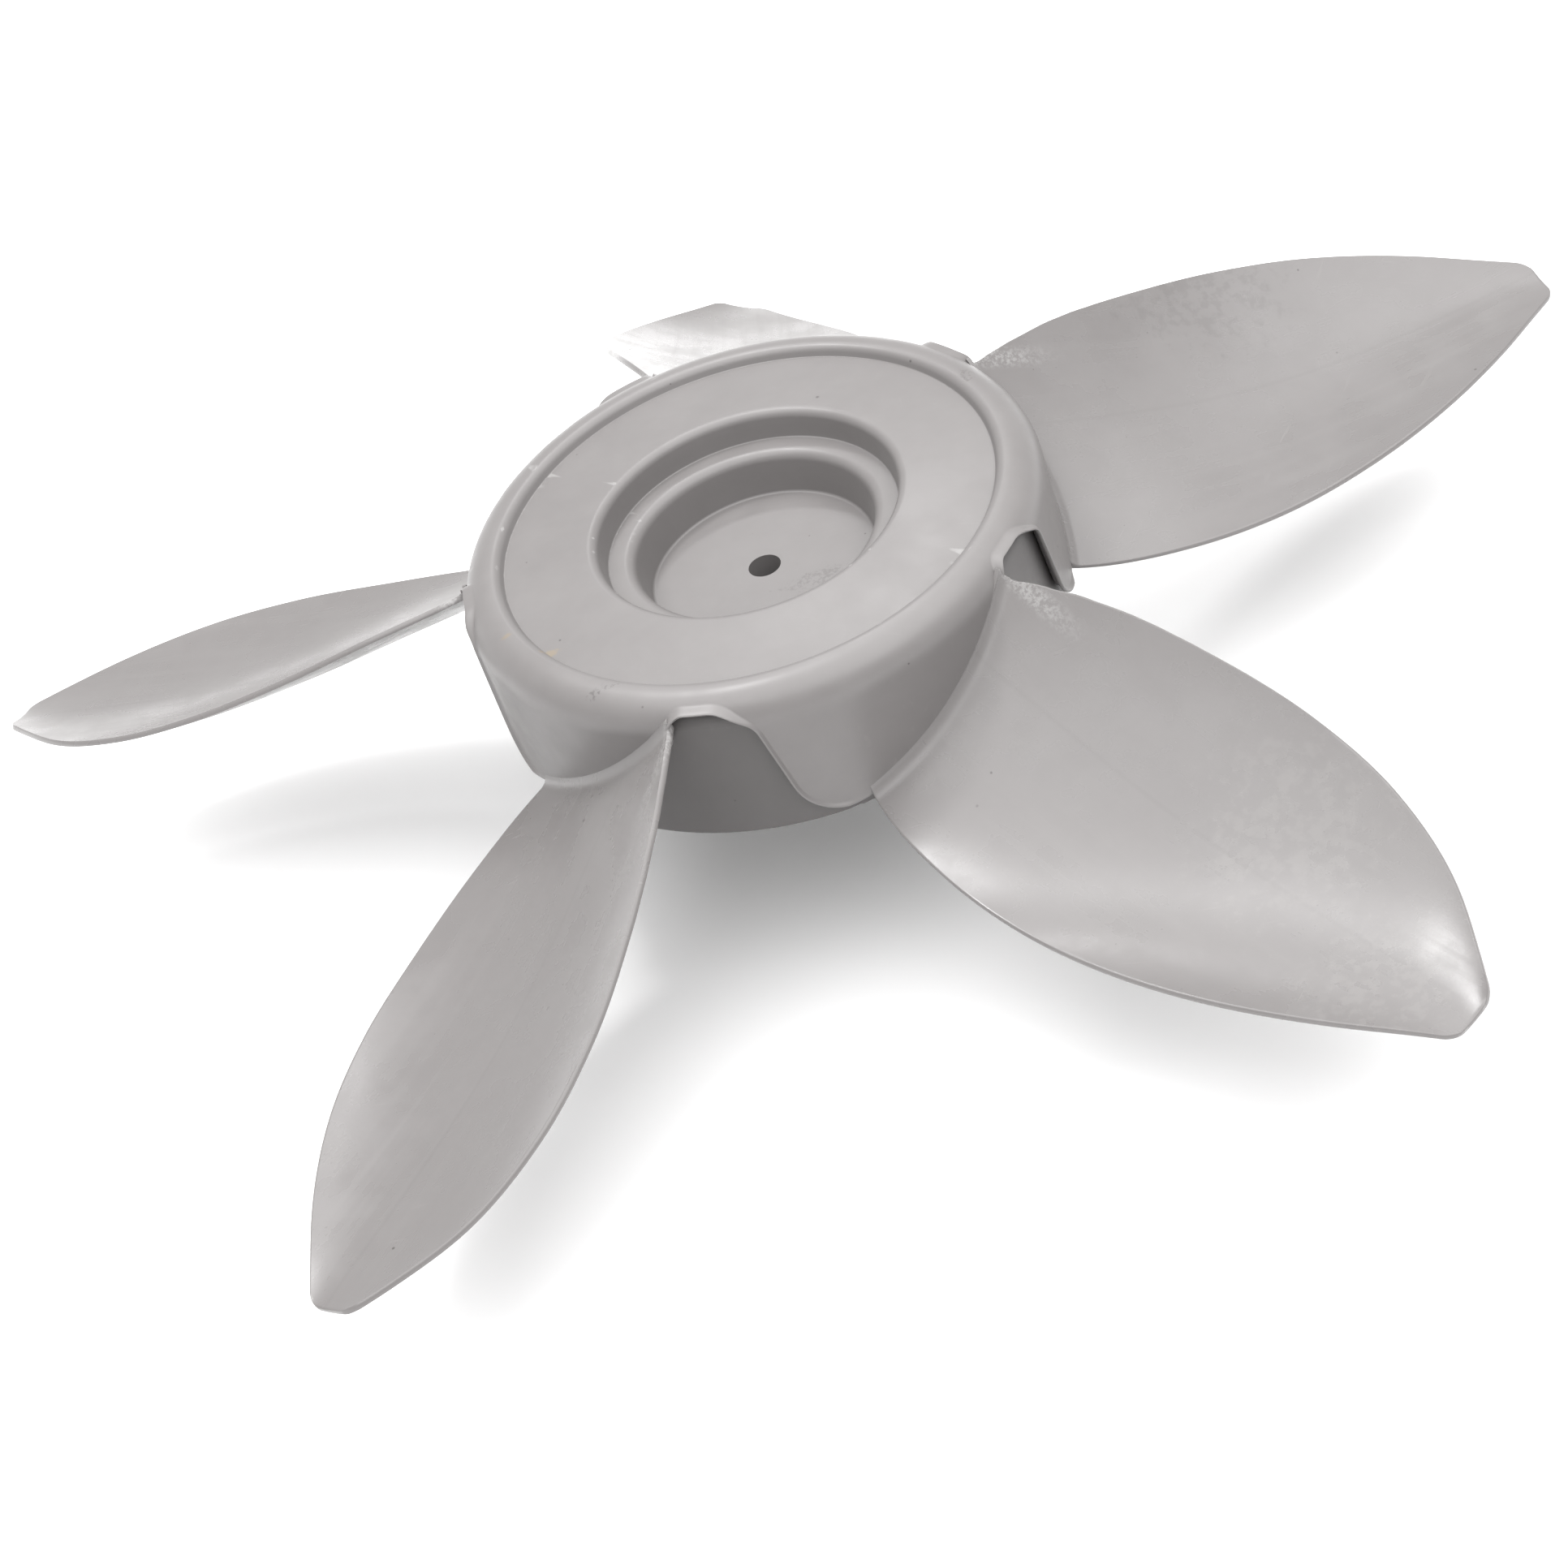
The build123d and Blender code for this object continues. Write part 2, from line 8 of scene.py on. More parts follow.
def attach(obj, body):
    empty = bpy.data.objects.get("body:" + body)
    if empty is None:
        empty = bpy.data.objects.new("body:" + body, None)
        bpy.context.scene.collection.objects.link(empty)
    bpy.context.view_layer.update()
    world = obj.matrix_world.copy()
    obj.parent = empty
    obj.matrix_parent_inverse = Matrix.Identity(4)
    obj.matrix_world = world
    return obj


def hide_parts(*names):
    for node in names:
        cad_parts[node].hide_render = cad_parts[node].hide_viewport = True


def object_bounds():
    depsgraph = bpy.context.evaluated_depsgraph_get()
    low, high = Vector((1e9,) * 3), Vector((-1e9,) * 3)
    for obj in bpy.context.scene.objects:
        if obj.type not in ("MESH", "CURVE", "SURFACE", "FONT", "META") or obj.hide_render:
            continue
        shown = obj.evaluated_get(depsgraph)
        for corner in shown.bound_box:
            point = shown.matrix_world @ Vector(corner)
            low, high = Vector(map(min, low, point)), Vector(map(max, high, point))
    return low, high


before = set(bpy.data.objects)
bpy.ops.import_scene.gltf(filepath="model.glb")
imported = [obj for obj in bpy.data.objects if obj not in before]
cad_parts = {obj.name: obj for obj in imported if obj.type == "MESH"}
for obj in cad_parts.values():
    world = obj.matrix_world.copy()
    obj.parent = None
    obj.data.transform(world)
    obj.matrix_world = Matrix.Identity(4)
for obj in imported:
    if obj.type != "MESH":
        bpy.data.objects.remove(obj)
cad_low, cad_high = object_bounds()

MM = 0.001

# ---------------------------------------------------------------- sizes shared by the mouldings, in mm
BLADE_COUNT = 5
SECTOR = 2 * math.pi / BLADE_COUNT
BLADE_LINE = math.radians(-60.9)       # first blade's own line, from +X
CREASE_Z = 41.5                        # foot of the rim's inner flank
FLOOR_Z = 24.6                         # floor of the well
UNDER_FLOOR_Z = 22.4
LEDGE_Z = 35.8                         # ledge between the well's two steps
LIP_RISE = 1.8                         # the face ring rises this much to the well's lip
SKIRT_Z = 4.7                          # lowest line of the skirt
HUB_R = 75.5
CREASE_R = 64.0
RIM_FLANK = 1.2
RIM_RISE = 2.6
RIM_ROUND = 8.6
SHEET = 2.2                            # wall of the moulding
NECK_HOLE_R = 4.25
NECK_CHAMFER = 0.3
HOUSING_R = 15.0                       # outside of the bearing's housing, under the floor
HOUSING_FOOT_Z = 10.5
SEAT_R = 11.0                          # seat of the front bearing, and the recess above it
SEAT_TOP_Z = 17.5
RECESS_R = 9.0
RECESS_TOP_Z = 17.9
EDGE_BREAK = 0.5                       # broken corners of the housing's foot
CROWN_R = HUB_R - RIM_ROUND            # where the rim's crown starts to round over
SKIRT_TOP_Z = CREASE_Z + RIM_RISE - RIM_ROUND
SKIRT_RUN = SKIRT_TOP_Z - SKIRT_Z      # straight height of the skirt
ROUND_RUN = RIM_ROUND * math.pi / 2
WALL_RUN = SKIRT_RUN + ROUND_RUN


def unit(v):
    return v / np.linalg.norm(v)


def rounded_path(points, radii, turn=math.radians(6)):
    """The line through the points with each inner corner rounded to its radius."""
    points = [np.array(p, float) for p in points]
    path = [points[0]]
    for before, corner, after, radius in zip(points, points[1:], points[2:], radii):
        a, b = unit(before - corner), unit(after - corner)
        half = math.acos(np.clip(a @ b, -1, 1)) / 2
        start = corner + a * radius / math.tan(half)
        centre = corner + unit(a + b) * radius / math.sin(half)
        sweep = math.pi - 2 * half
        side = np.sign(a[0] * b[1] - a[1] * b[0])
        steps = max(2, math.ceil(sweep / turn))
        arm = start - centre
        for k in range(steps + 1):
            angle = -side * sweep * k / steps
            c, s = math.cos(angle), math.sin(angle)
            path.append(centre + np.array((c * arm[0] - s * arm[1], s * arm[0] + c * arm[1])))
    path.append(points[-1])
    return np.array(path)


def even(path, step):
    """The same line with extra points, so that none are further apart than the step."""
    out = [path[0]]
    for a, b in zip(path, path[1:]):
        count = max(1, math.ceil(np.linalg.norm(b - a) / step))
        out += [a + (b - a) * k / count for k in range(1, count + 1)]
    return np.array(out)


def mesh_piece(name, points, faces, material, body, stands_for=(), smooth_angle=None):
    """A piece of the object from points in mm and faces."""
    mesh = bpy.data.meshes.new(name)
    mesh.from_pydata([tuple(p) for p in np.asarray(points) * MM], [], [tuple(f) for f in faces])
    mesh.validate()
    mesh.update()
    piece = bpy.data.objects.new(name, mesh)
    bpy.context.scene.collection.objects.link(piece)
    mesh.materials.append(material)
    mesh.shade_smooth()
    if smooth_angle is not None:
        mesh.set_sharp_from_angle(angle=smooth_angle)
    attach(piece, body)
    if stands_for:
        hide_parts(*stands_for)
    return piece


class Skin:
    """Points and faces of one closed moulding, gathered grid by grid."""

    def __init__(self):
        self.points, self.faces = [], []

    def grid(self, rows, closed=True, flip=False):
        """Adds rows of points joined by faces, and returns the numbers of the points."""
        rows = np.asarray(rows, float)
        count, width = rows.shape[:2]
        start = len(self.points)
        self.points += [tuple(p) for p in rows.reshape(-1, 3)]
        ids = start + np.arange(count * width).reshape(count, width)
        self.join(ids, closed, flip)
        return ids

    def join(self, ids, closed=True, flip=False):
        """Faces between rows of point numbers."""
        for low, high in zip(ids, ids[1:]):
            last = len(low) if closed else len(low) - 1
            for k in range(last):
                n = (k + 1) % len(low)
                face = (low[k], low[n], high[n], high[k])
                face = tuple(dict.fromkeys(int(i) for i in face))
                if len(face) > 2:
                    self.faces.append(face[::-1] if flip else face)


# ---------------------------------------------------------------- the hub moulding
OUTER_PROFILE = rounded_path(
    (
        (NECK_HOLE_R, FLOOR_Z), (29.4, FLOOR_Z), (31.6, LEDGE_Z), (38.1, LEDGE_Z),
        (39.6, CREASE_Z + LIP_RISE), (CREASE_R, CREASE_Z),
        (CREASE_R + RIM_FLANK, CREASE_Z + RIM_RISE), (CROWN_R, CREASE_Z + RIM_RISE),
    ),
    (0.8, 3.0, 0.4, 2.5, 0.3, 2.6),
)
INNER_PROFILE = rounded_path(
    (
        (HOUSING_R, UNDER_FLOOR_Z), (31.6, UNDER_FLOOR_Z),
        (33.8, LEDGE_Z - SHEET), (40.3, LEDGE_Z - SHEET),
        (41.8, CREASE_Z + LIP_RISE - SHEET), (CREASE_R, CREASE_Z - SHEET),
        (CREASE_R + RIM_FLANK, CREASE_Z + RIM_RISE - SHEET), (CROWN_R, CREASE_Z + RIM_RISE - SHEET),
    ),
    (3.0, 0.8, 1.6, 0.5, 0.5, 0.5),
)
HOUSING_PROFILE = (
    (HOUSING_R, HOUSING_FOOT_Z + EDGE_BREAK), (HOUSING_R - EDGE_BREAK, HOUSING_FOOT_Z),
    (SEAT_R + EDGE_BREAK, HOUSING_FOOT_Z), (SEAT_R, HOUSING_FOOT_Z + EDGE_BREAK),
    (SEAT_R, SEAT_TOP_Z), (RECESS_R, SEAT_TOP_Z), (RECESS_R, RECESS_TOP_Z),
    (NECK_HOLE_R, RECESS_TOP_Z), (NECK_HOLE_R, FLOOR_Z - NECK_CHAMFER),
)


def wall_height(run):
    """Height of the outer wall's line at this run up from the skirt's foot."""
    run = np.asarray(run, float)
    angle = np.clip((run - SKIRT_RUN) / RIM_ROUND, 0, math.pi / 2)
    return np.where(run < SKIRT_RUN, SKIRT_Z + run, SKIRT_TOP_Z + RIM_ROUND * np.sin(angle))


def wall_radius(run, inset=0.0):
    """Radius of the wall at this run, or of a line this far inside it."""
    angle = np.clip((np.asarray(run, float) - SKIRT_RUN) / RIM_ROUND, 0, math.pi / 2)
    return CROWN_R + (RIM_ROUND - inset) * np.cos(angle)


def wall_run(z):
    """Run of a point on the wall from its height."""
    over = np.clip((z - SKIRT_TOP_Z) / RIM_ROUND, 0, 1)
    return np.where(z < SKIRT_TOP_Z, z - SKIRT_Z, SKIRT_RUN + RIM_ROUND * np.arcsin(over))


# places of the arch as angles from the blade's own line, and those of the root's two ends
ARCH_LEFT = math.asin(19.0 / HUB_R)
ARCH_ANGLE = ARCH_LEFT + math.asin(17.8 / HUB_R)
ARCH_BROW = ARCH_ANGLE - math.asin(4.5 / HUB_R)
ARCH_RIGHT = ARCH_ANGLE + math.asin(3.0 / HUB_R)
ARCH_FOOT = ARCH_ANGLE + math.asin(9.6 / HUB_R)
ROOT_LOW_Y = 33.6                       # the root's low end lies this far to the side
ROOT_WIDTH = 54.2
ROOT_RISE = 30.6
ROOT_CUP = 3.6
ROOT_LOW = -math.asin(ROOT_LOW_Y / HUB_R)
ROOT_MIDDLE = -0.12                     # angle where one sector of the wall ends and the next starts
ARCH_TOP_Z = CREASE_Z + 0.3
ARCH_SHOULDER_Z = CREASE_Z - 5.5
SKIRT_COLUMNS = 144                     # columns of the wall in one sector
FLOOR_R = 28.4                          # flat part of the well's floor
FLOOR_STEP = 0.4                        # spacing of the rows there, on the face ring and underneath
RING_STEP = 3.0
UNDER_STEP = 4.0
GATE_PLACE = (5.4, 6.6)                 # gate dimple on the well's floor, with the gate's ring round it
WITNESS_R, WITNESS_W, WITNESS_DEPTH = 14.7, 0.3, 0.12
DIMPLE_R, DIMPLE_DEPTH = 0.9, 0.35
LIP_PROUD = 0.8                         # the arch's lip stands this far outside the skirt
BROW_PROUD = 1.4                        # and this much more under the rim, like a small peak
BROW_HEIGHT = 5                         # the peak grows over this height below the crease
LIP_T = 1.1                             # thickness of its trimmed edge
LIP_FLAT = 0.12                         # width of the edge before the lip starts to fall away
LIP_DEPTH = 1.1                         # the lip has died away this far from the edge
BEYOND_LIP = 99.0                       # depth given to the rows that no lip reaches
FAR_ROWS = 22                           # rows of the wall between the lip and the rim's crown
EDGE_SHARE, EVEN_SHARE = 0.3, 0.7       # columns by the crown: placed as at the edge, and evenly


def root_edge_z(angle):
    """Height of the skirt's edge under a blade's root, which follows the root's arc."""
    y = HUB_R * np.sin(angle)
    share = (y + ROOT_LOW_Y) / ROOT_WIDTH
    return SKIRT_Z + ROOT_RISE * share - ROOT_CUP * 4 * share * (1 - share)


def skirt_edge():
    """One sector of the skirt's lower edge as distance round the hub and run up the wall.  It starts
    and ends half way along a blade's root."""
    root_angles = np.linspace(ROOT_MIDDLE, ARCH_LEFT - 0.012, 12)
    next_angles = np.linspace(ROOT_LOW + 0.05, ROOT_MIDDLE, 12)
    root = [(HUB_R * a, root_edge_z(a)) for a in root_angles]
    next_root = [(HUB_R * (a + SECTOR), root_edge_z(a)) for a in next_angles]
    corners = (
        [(HUB_R * ARCH_LEFT, root_edge_z(ARCH_LEFT) + 0.4)]
        + [(HUB_R * ARCH_LEFT, ARCH_TOP_Z), (HUB_R * ARCH_BROW, ARCH_TOP_Z)]
        + [(HUB_R * ARCH_RIGHT, ARCH_SHOULDER_Z), (HUB_R * ARCH_FOOT, SKIRT_Z)]
        + [(HUB_R * (ROOT_LOW + SECTOR), SKIRT_Z)]
    )
    points = root + corners + next_root
    corner_radii = [1.2, 1.6, 4.0, 9.0, 6.0, 13.0, 3.5, 2.0]
    radii = [1.0] * (len(root) - 2) + corner_radii + [1.0] * (len(next_root) - 2)
    path = even(rounded_path(points, radii, math.radians(8)), 0.4)
    run = wall_run(path[:, 1])
    path = np.column_stack((path[:, 0], run))
    along = np.concatenate(([0], np.cumsum(np.linalg.norm(np.diff(path, axis=0), axis=1))))
    # columns lie closer together round the arch than along the root
    round_arch = (path[:, 0] > HUB_R * (ARCH_LEFT - 0.06)) & (path[:, 0] < HUB_R * (ARCH_FOOT + 0.12))
    weight = np.where(round_arch, 1.5, 0.8)
    measure = np.concatenate(([0], np.cumsum(np.diff(along) * (weight[1:] + weight[:-1]) / 2)))
    want = np.linspace(0, measure[-1], SKIRT_COLUMNS + 1)
    return np.column_stack([np.interp(want, measure, path[:, k]) for k in (0, 1)])


def hub_moulding(material):
    """The shell: skirt with its arches and lips, rim, face ring, well, underside and housing."""
    edge = skirt_edge()
    period = HUB_R * SECTOR
    # outward normals of the edge, towards the wall
    ring = np.vstack((edge[-2] - (period, 0), edge, edge[1] + (period, 0)))
    along = ring[2:] - ring[:-2]
    normal = np.column_stack((-along[:, 1], along[:, 0]))
    normal /= np.linalg.norm(normal, axis=1)[:, None]
    for _ in range(4):
        wrapped = np.vstack((normal[-2], normal, normal[1]))
        normal = (wrapped[:-2] + 2 * wrapped[1:-1] + wrapped[2:]) / 4
    normal /= np.linalg.norm(normal, axis=1)[:, None]
    edge, normal = edge[:-1], normal[:-1]
    angle = edge[:, 0] / HUB_R
    # the lip stands round the arch and the lobe, and is gone under the blade's root
    rise = np.clip((angle - (ARCH_LEFT - 0.05)) / 0.05, 0, 1)
    fall = np.clip((ROOT_LOW + SECTOR - angle) / 0.06, 0, 1)
    strength = rise * fall
    brow = np.clip((wall_height(edge[:, 1]) - (CREASE_Z - BROW_HEIGHT)) / BROW_HEIGHT, 0, 1)
    proud = LIP_PROUD + BROW_PROUD * brow * brow * (3 - 2 * brow)
    offsets = np.array((0.0, 0.15, 0.3, 0.45, 0.6, 0.75, 0.9, LIP_DEPTH, 1.4, 1.8, 2.4, 3.2))
    near = [edge + normal * d for d in offsets]
    uniform = np.arange(SKIRT_COLUMNS) / SKIRT_COLUMNS * period + edge[0, 0]
    crown = EDGE_SHARE * near[-1][:, 0] + EVEN_SHARE * uniform
    top = np.column_stack((crown, np.full(SKIRT_COLUMNS, WALL_RUN)))
    far = [near[-1] + (top - near[-1]) * k / FAR_ROWS for k in range(1, FAR_ROWS + 1)]
    places = np.array(near + far)
    depth = np.concatenate((offsets, np.full(FAR_ROWS, BEYOND_LIP)))

    def flare(d, end):
        x = np.clip((d - LIP_FLAT) / (end - LIP_FLAT), 0, 1)
        return 1 - x * x * (3 - 2 * x)

    def wall(inset, end):
        rows = []
        for row in range(len(places)):
            s, run = places[row][:, 0], places[row][:, 1]
            r, z = wall_radius(run, inset), wall_height(run)
            if inset:
                z = z - inset * np.sin(np.clip((run - SKIRT_RUN) / RIM_ROUND, 0, math.pi / 2))
                lip_r = wall_radius(run) + proud - LIP_T
                z = z + (wall_height(run) - LIP_T * 0.8 * brow - z) * flare(depth[row], end) * strength
            else:
                lip_r = r + proud
            r = r + (lip_r - r) * flare(depth[row], end) * strength
            sector = []
            for turn_no in range(BLADE_COUNT):
                a = s / HUB_R + BLADE_LINE + SECTOR * turn_no
                sector.append(np.column_stack((r * np.cos(a), r * np.sin(a), z)))
            rows.append(np.vstack(sector))
        return np.array(rows)

    outer = wall(0.0, LIP_DEPTH)
    inner = wall(SHEET, 2 * LIP_DEPTH)
    skin = Skin()
    outer_ids = skin.grid(outer, flip=False)
    inner_ids = skin.grid(inner, flip=True)
    # the trimmed edge is rounded between the two faces
    middle = (outer[0] + inner[0]) / 2
    reach = (outer[0] - inner[0]) / 2
    drop = np.tile(np.column_stack((-normal[:, 0], -normal[:, 1])), (BLADE_COUNT, 1))
    turns = [edge[:, 0] / HUB_R + BLADE_LINE + SECTOR * k for k in range(BLADE_COUNT)]
    angles = np.concatenate(turns)
    across = np.column_stack((-np.sin(angles), np.cos(angles), np.zeros_like(angles))) * drop[:, :1]
    across[:, 2] = drop[:, 1]
    belly = np.linalg.norm(reach, axis=1)[:, None] * 0.5
    bulge = [middle + reach * math.cos(a) + across * belly * math.sin(a)
             for a in np.radians((36, 72, 108, 144))]
    trim_ids = skin.grid(np.array(bulge), flip=False)
    skin.join([trim_ids[0], outer_ids[0]], flip=False)
    skin.join([inner_ids[0], trim_ids[-1]], flip=False)
    # face ring, well and underside share the wall's own columns
    columns = np.arctan2(outer[-1][:, 1], outer[-1][:, 0])

    def face(profile):
        rows = [(r * np.cos(columns), r * np.sin(columns), np.full_like(columns, z)) for r, z in profile]
        return np.array([np.column_stack(row) for row in rows])

    # rows lie close together on the well's floor, which carries the gate's ring and dimple
    floor_end = int(np.argmax(OUTER_PROFILE[:, 0] > FLOOR_R))
    floor_rows = even(OUTER_PROFILE[:floor_end], FLOOR_STEP)
    other_rows = even(OUTER_PROFILE[floor_end:], RING_STEP)
    top = face(np.vstack((floor_rows, other_rows))[::-1][1:])
    gate = np.hypot(top[..., 0] - GATE_PLACE[0], top[..., 1] - GATE_PLACE[1])
    witness = np.exp(-(((gate - WITNESS_R) / WITNESS_W) ** 2)) * WITNESS_DEPTH
    dimple = np.exp(-((gate / DIMPLE_R) ** 2)) * DIMPLE_DEPTH
    on_floor = np.abs(top[..., 2] - FLOOR_Z) < FLOOR_STEP
    top[..., 2] -= np.where(on_floor, witness + dimple, 0)
    top_ids = skin.grid(top, flip=False)
    skin.join([outer_ids[-1], top_ids[0]], flip=False)
    under_ids = skin.grid(face(even(INNER_PROFILE, UNDER_STEP)[::-1][1:]), flip=True)
    skin.join([inner_ids[-1], under_ids[0]], flip=True)
    housing_ids = skin.grid(face(HOUSING_PROFILE), flip=True)
    skin.join([under_ids[-1], housing_ids[0]], flip=True)
    skin.join([housing_ids[-1], top_ids[-1]], flip=True)
    return mesh_piece("hub_moulding", skin.points, skin.faces, material, "propeller",
                      ["hub_shell"], math.radians(40))


# ---------------------------------------------------------------- blades
REACH = 152.0                           # from the skirt to the tip, along the blade's line
BLADE_T = 1.5
TIP_ROUND = 3.0                         # the tip's corners are rounded in plan
RAGGED_EDGE = 0.16                      # unevenness of the trimmed upper edge near the root
RAGGED_REACH = 34.0                     # it has mostly died away this far out
RIM_BELLY = 0.6                         # roundness of the long edges
ROOT_BLEND = 0.22                       # the rows bend to follow the skirt over this share
ROOT_DEPTH = 1.1                        # the root reaches this far into the skirt's wall
# set that each blade has taken: droop half way and at the tip, tilt at the tip, swing of the tip
BLADE_SET = {
    1: (-0.2, 1.9, -0.06, 0.5), 2: (-0.5, -1.5, -0.04, 0.4), 3: (15.8, 39.8, 0.26, 2.7),
    4: (-1.6, -1.0, 0.10, 2.2), 5: (-2.9, -6.0, -0.08, 5.0),
}
ROOT_FILLET = 2.6
# share of the reach, then offset and depth of the upper edge and of the lower edge, and the cup
SECTIONS = np.array((
    (-0.11, 13.0, 0.5, -28.0, 33.6, 2.4),
    (0.00, 19.8, 3.6, -34.2, 38.0, 3.6),
    (0.15, 28.0, 8.2, -38.4, 42.4, 6.0),
    (0.33, 34.2, 16.6, -39.4, 45.9, 8.0),
    (0.51, 37.0, 25.4, -36.6, 47.1, 8.4),
    (0.68, 34.4, 33.6, -29.8, 47.9, 6.6),
    (0.84, 24.8, 41.2, -19.0, 49.1, 3.6),
    (0.94, 13.8, 45.4, -10.2, 50.1, 1.6),
    (1.00, 6.4, 47.6, -4.8, 50.9, 0.7),
))


def spline(x, xs, ys):
    """Smooth curve through the points, with slopes from their neighbours."""
    slope = np.gradient(ys, xs)
    k = np.clip(np.searchsorted(xs, x) - 1, 0, len(xs) - 2)
    h = xs[k + 1] - xs[k]
    t = (x - xs[k]) / h
    return (
        (2 * t**3 - 3 * t**2 + 1) * ys[k] + (t**3 - 2 * t**2 + t) * h * slope[k]
        + (-2 * t**3 + 3 * t**2) * ys[k + 1] + (t**3 - t**2) * h * slope[k + 1]
    )


def section(share):
    """Offset and depth of both edges and the cup, at this share of the reach."""
    return [spline(share, SECTIONS[:, 0], SECTIONS[:, k]) for k in range(1, 6)]


def blade_moulding(number, material):
    """A cupped blade, rounded at its trimmed edges, that flows into the skirt through a fillet."""
    line = BLADE_LINE + SECTOR * (number - 1)
    half_droop, tip_droop, tilt, swing = BLADE_SET[number]
    rng = np.random.default_rng(40 + number)
    shares = np.concatenate((
        np.array((0.0, 0.15, 0.4, 0.8, 1.3, 1.9, 2.6, 3.6, 5.0, 7.0)) / REACH,
        np.linspace(9.5 / REACH, 1 - 4.5 / REACH, 64),
        1 - np.array((3.6, 3.0, 2.4, 1.8, 1.3, 0.9, 0.55, 0.28, 0.1, 0.0)) / REACH,
    ))
    near_low, near_high = (0, 0.004, 0.012, 0.026), (0.974, 0.988, 0.996, 1)
    across = np.concatenate((near_low, np.linspace(0.05, 0.95, 34), near_high))
    u, v = np.meshgrid(shares, across, indexing="ij")
    x = HUB_R + u * REACH
    ragged = np.convolve(rng.normal(0, 1, len(shares) + 4), (0.25, 0.5, 0.25), "same")[2:-2]
    ragged *= RAGGED_EDGE * np.exp(-((shares * REACH / RAGGED_REACH) ** 2))
    # the root's outline and the rows that follow the skirt depend on each other, so a few rounds settle them
    for _ in range(5):
        share = (x - HUB_R) / REACH
        hy, hd, ly, ld, cup = section(share)
        past = np.clip(share * REACH - (REACH - TIP_ROUND), 0, TIP_ROUND)
        inset = TIP_ROUND - np.sqrt(np.maximum(TIP_ROUND**2 - past**2, 0))
        high_y, low_y = hy - inset + ragged[:, None], ly + inset
        y = low_y + (high_y - low_y) * v
        root_x = np.sqrt(HUB_R**2 - y**2)
        x = HUB_R + u * REACH + (root_x - HUB_R) * np.clip(1 - u / ROOT_BLEND, 0, 1) ** 2
    share = (x - HUB_R) / REACH
    hy, hd, ly, ld, cup = section(share)
    w = (y - ly) / (hy - ly)
    chord_y, chord_z = hy - ly, ld - hd
    length = np.hypot(chord_y, chord_z)
    top_z = -ld + w * chord_z - cup * 4 * w * (1 - w) * chord_y / length
    out = np.maximum(share, 0)
    droop = (8 * half_droop - tip_droop) * out**2 + (2 * tip_droop - 8 * half_droop) * out**3
    top_z = CREASE_Z + top_z - droop + tilt * out**2 * y
    y = y + swing * out**2
    gap = np.hypot(x, y) - HUB_R
    near = np.clip(1 - gap / ROOT_FILLET, 0, 1)
    lift = ROOT_FILLET * (1 - np.sqrt(np.maximum(1 - near**2, 0)))
    tip_gap = (1 - u) * REACH
    half = BLADE_T / 2
    round_off = np.sqrt(np.clip(1 - (np.clip(half - tip_gap, 0, half) / half) ** 2, 0, 1))
    points = np.stack((x, y, top_z), axis=-1)
    du = np.gradient(points, axis=0)
    dv = np.gradient(points, axis=1)
    n = np.cross(du, dv)
    n /= np.linalg.norm(n, axis=2)[..., None]
    mid = points - n * half
    top = mid + n * half * round_off[..., None]
    top[..., 2] += lift
    bottom = mid - n * half * round_off[..., None]
    rows = []
    side = np.radians((30, 60, 90, 120, 150))
    for i in range(len(shares)):
        h = half * round_off[i, 0]
        out_high = unit(np.append((points[i, -1] - points[i, -2])[:2], 0) + (0, 1e-9, 0))
        out_low = -unit(np.append((points[i, 1] - points[i, 0])[:2], 0) + (0, 1e-9, 0))
        high_rim, low_rim = [], []
        for a in side:
            arm = (top[i, -1] - bottom[i, -1]) / 2 * math.cos(a)
            arm = arm + out_high * h * RIM_BELLY * math.sin(a)
            high_rim.append((top[i, -1] + bottom[i, -1]) / 2 + arm)
            arm = (bottom[i, 0] - top[i, 0]) / 2 * math.cos(a)
            arm = arm + out_low * h * RIM_BELLY * math.sin(a)
            low_rim.append((top[i, 0] + bottom[i, 0]) / 2 + arm)
        rows.append(np.vstack((top[i], high_rim, bottom[i][::-1], low_rim)))
    rows = np.array(rows)
    # the root runs a little way into the skirt's wall, and is closed there
    inside = rows[0].copy()
    radial = np.hypot(inside[:, 0], inside[:, 1])
    inside[:, :2] *= ((HUB_R - ROOT_DEPTH) / radial)[:, None]
    rows[0][:, :2] *= ((HUB_R - 0.04) / np.hypot(rows[0][:, 0], rows[0][:, 1]))[:, None]
    rows = np.concatenate((inside[None], rows))
    c, s = math.cos(line), math.sin(line)
    x, y, z = rows[..., 0], rows[..., 1], rows[..., 2]
    placed = np.stack((x * c - y * s, x * s + y * c, z), -1)
    skin = Skin()
    ids = skin.grid(placed, flip=True)
    for end, turn_over in ((ids[0], False), (ids[-1], True)):
        n_top = len(across)
        upper = end[:n_top]
        lower = end[n_top + len(side):2 * n_top + len(side)][::-1]
        skin.join([upper, lower], closed=False, flip=not turn_over)
        high = [upper[-1], *end[n_top:n_top + len(side)], lower[-1]]
        low = [lower[0], *end[2 * n_top + len(side):], upper[0]]
        for fan in (high, low):
            fan = [int(i) for i in fan]
            skin.faces.append(tuple(fan) if turn_over else tuple(fan[::-1]))
    return mesh_piece(f"blade_{number}_moulding", skin.points, skin.faces, material, "propeller",
                      [f"blade_{number}"], math.radians(50))


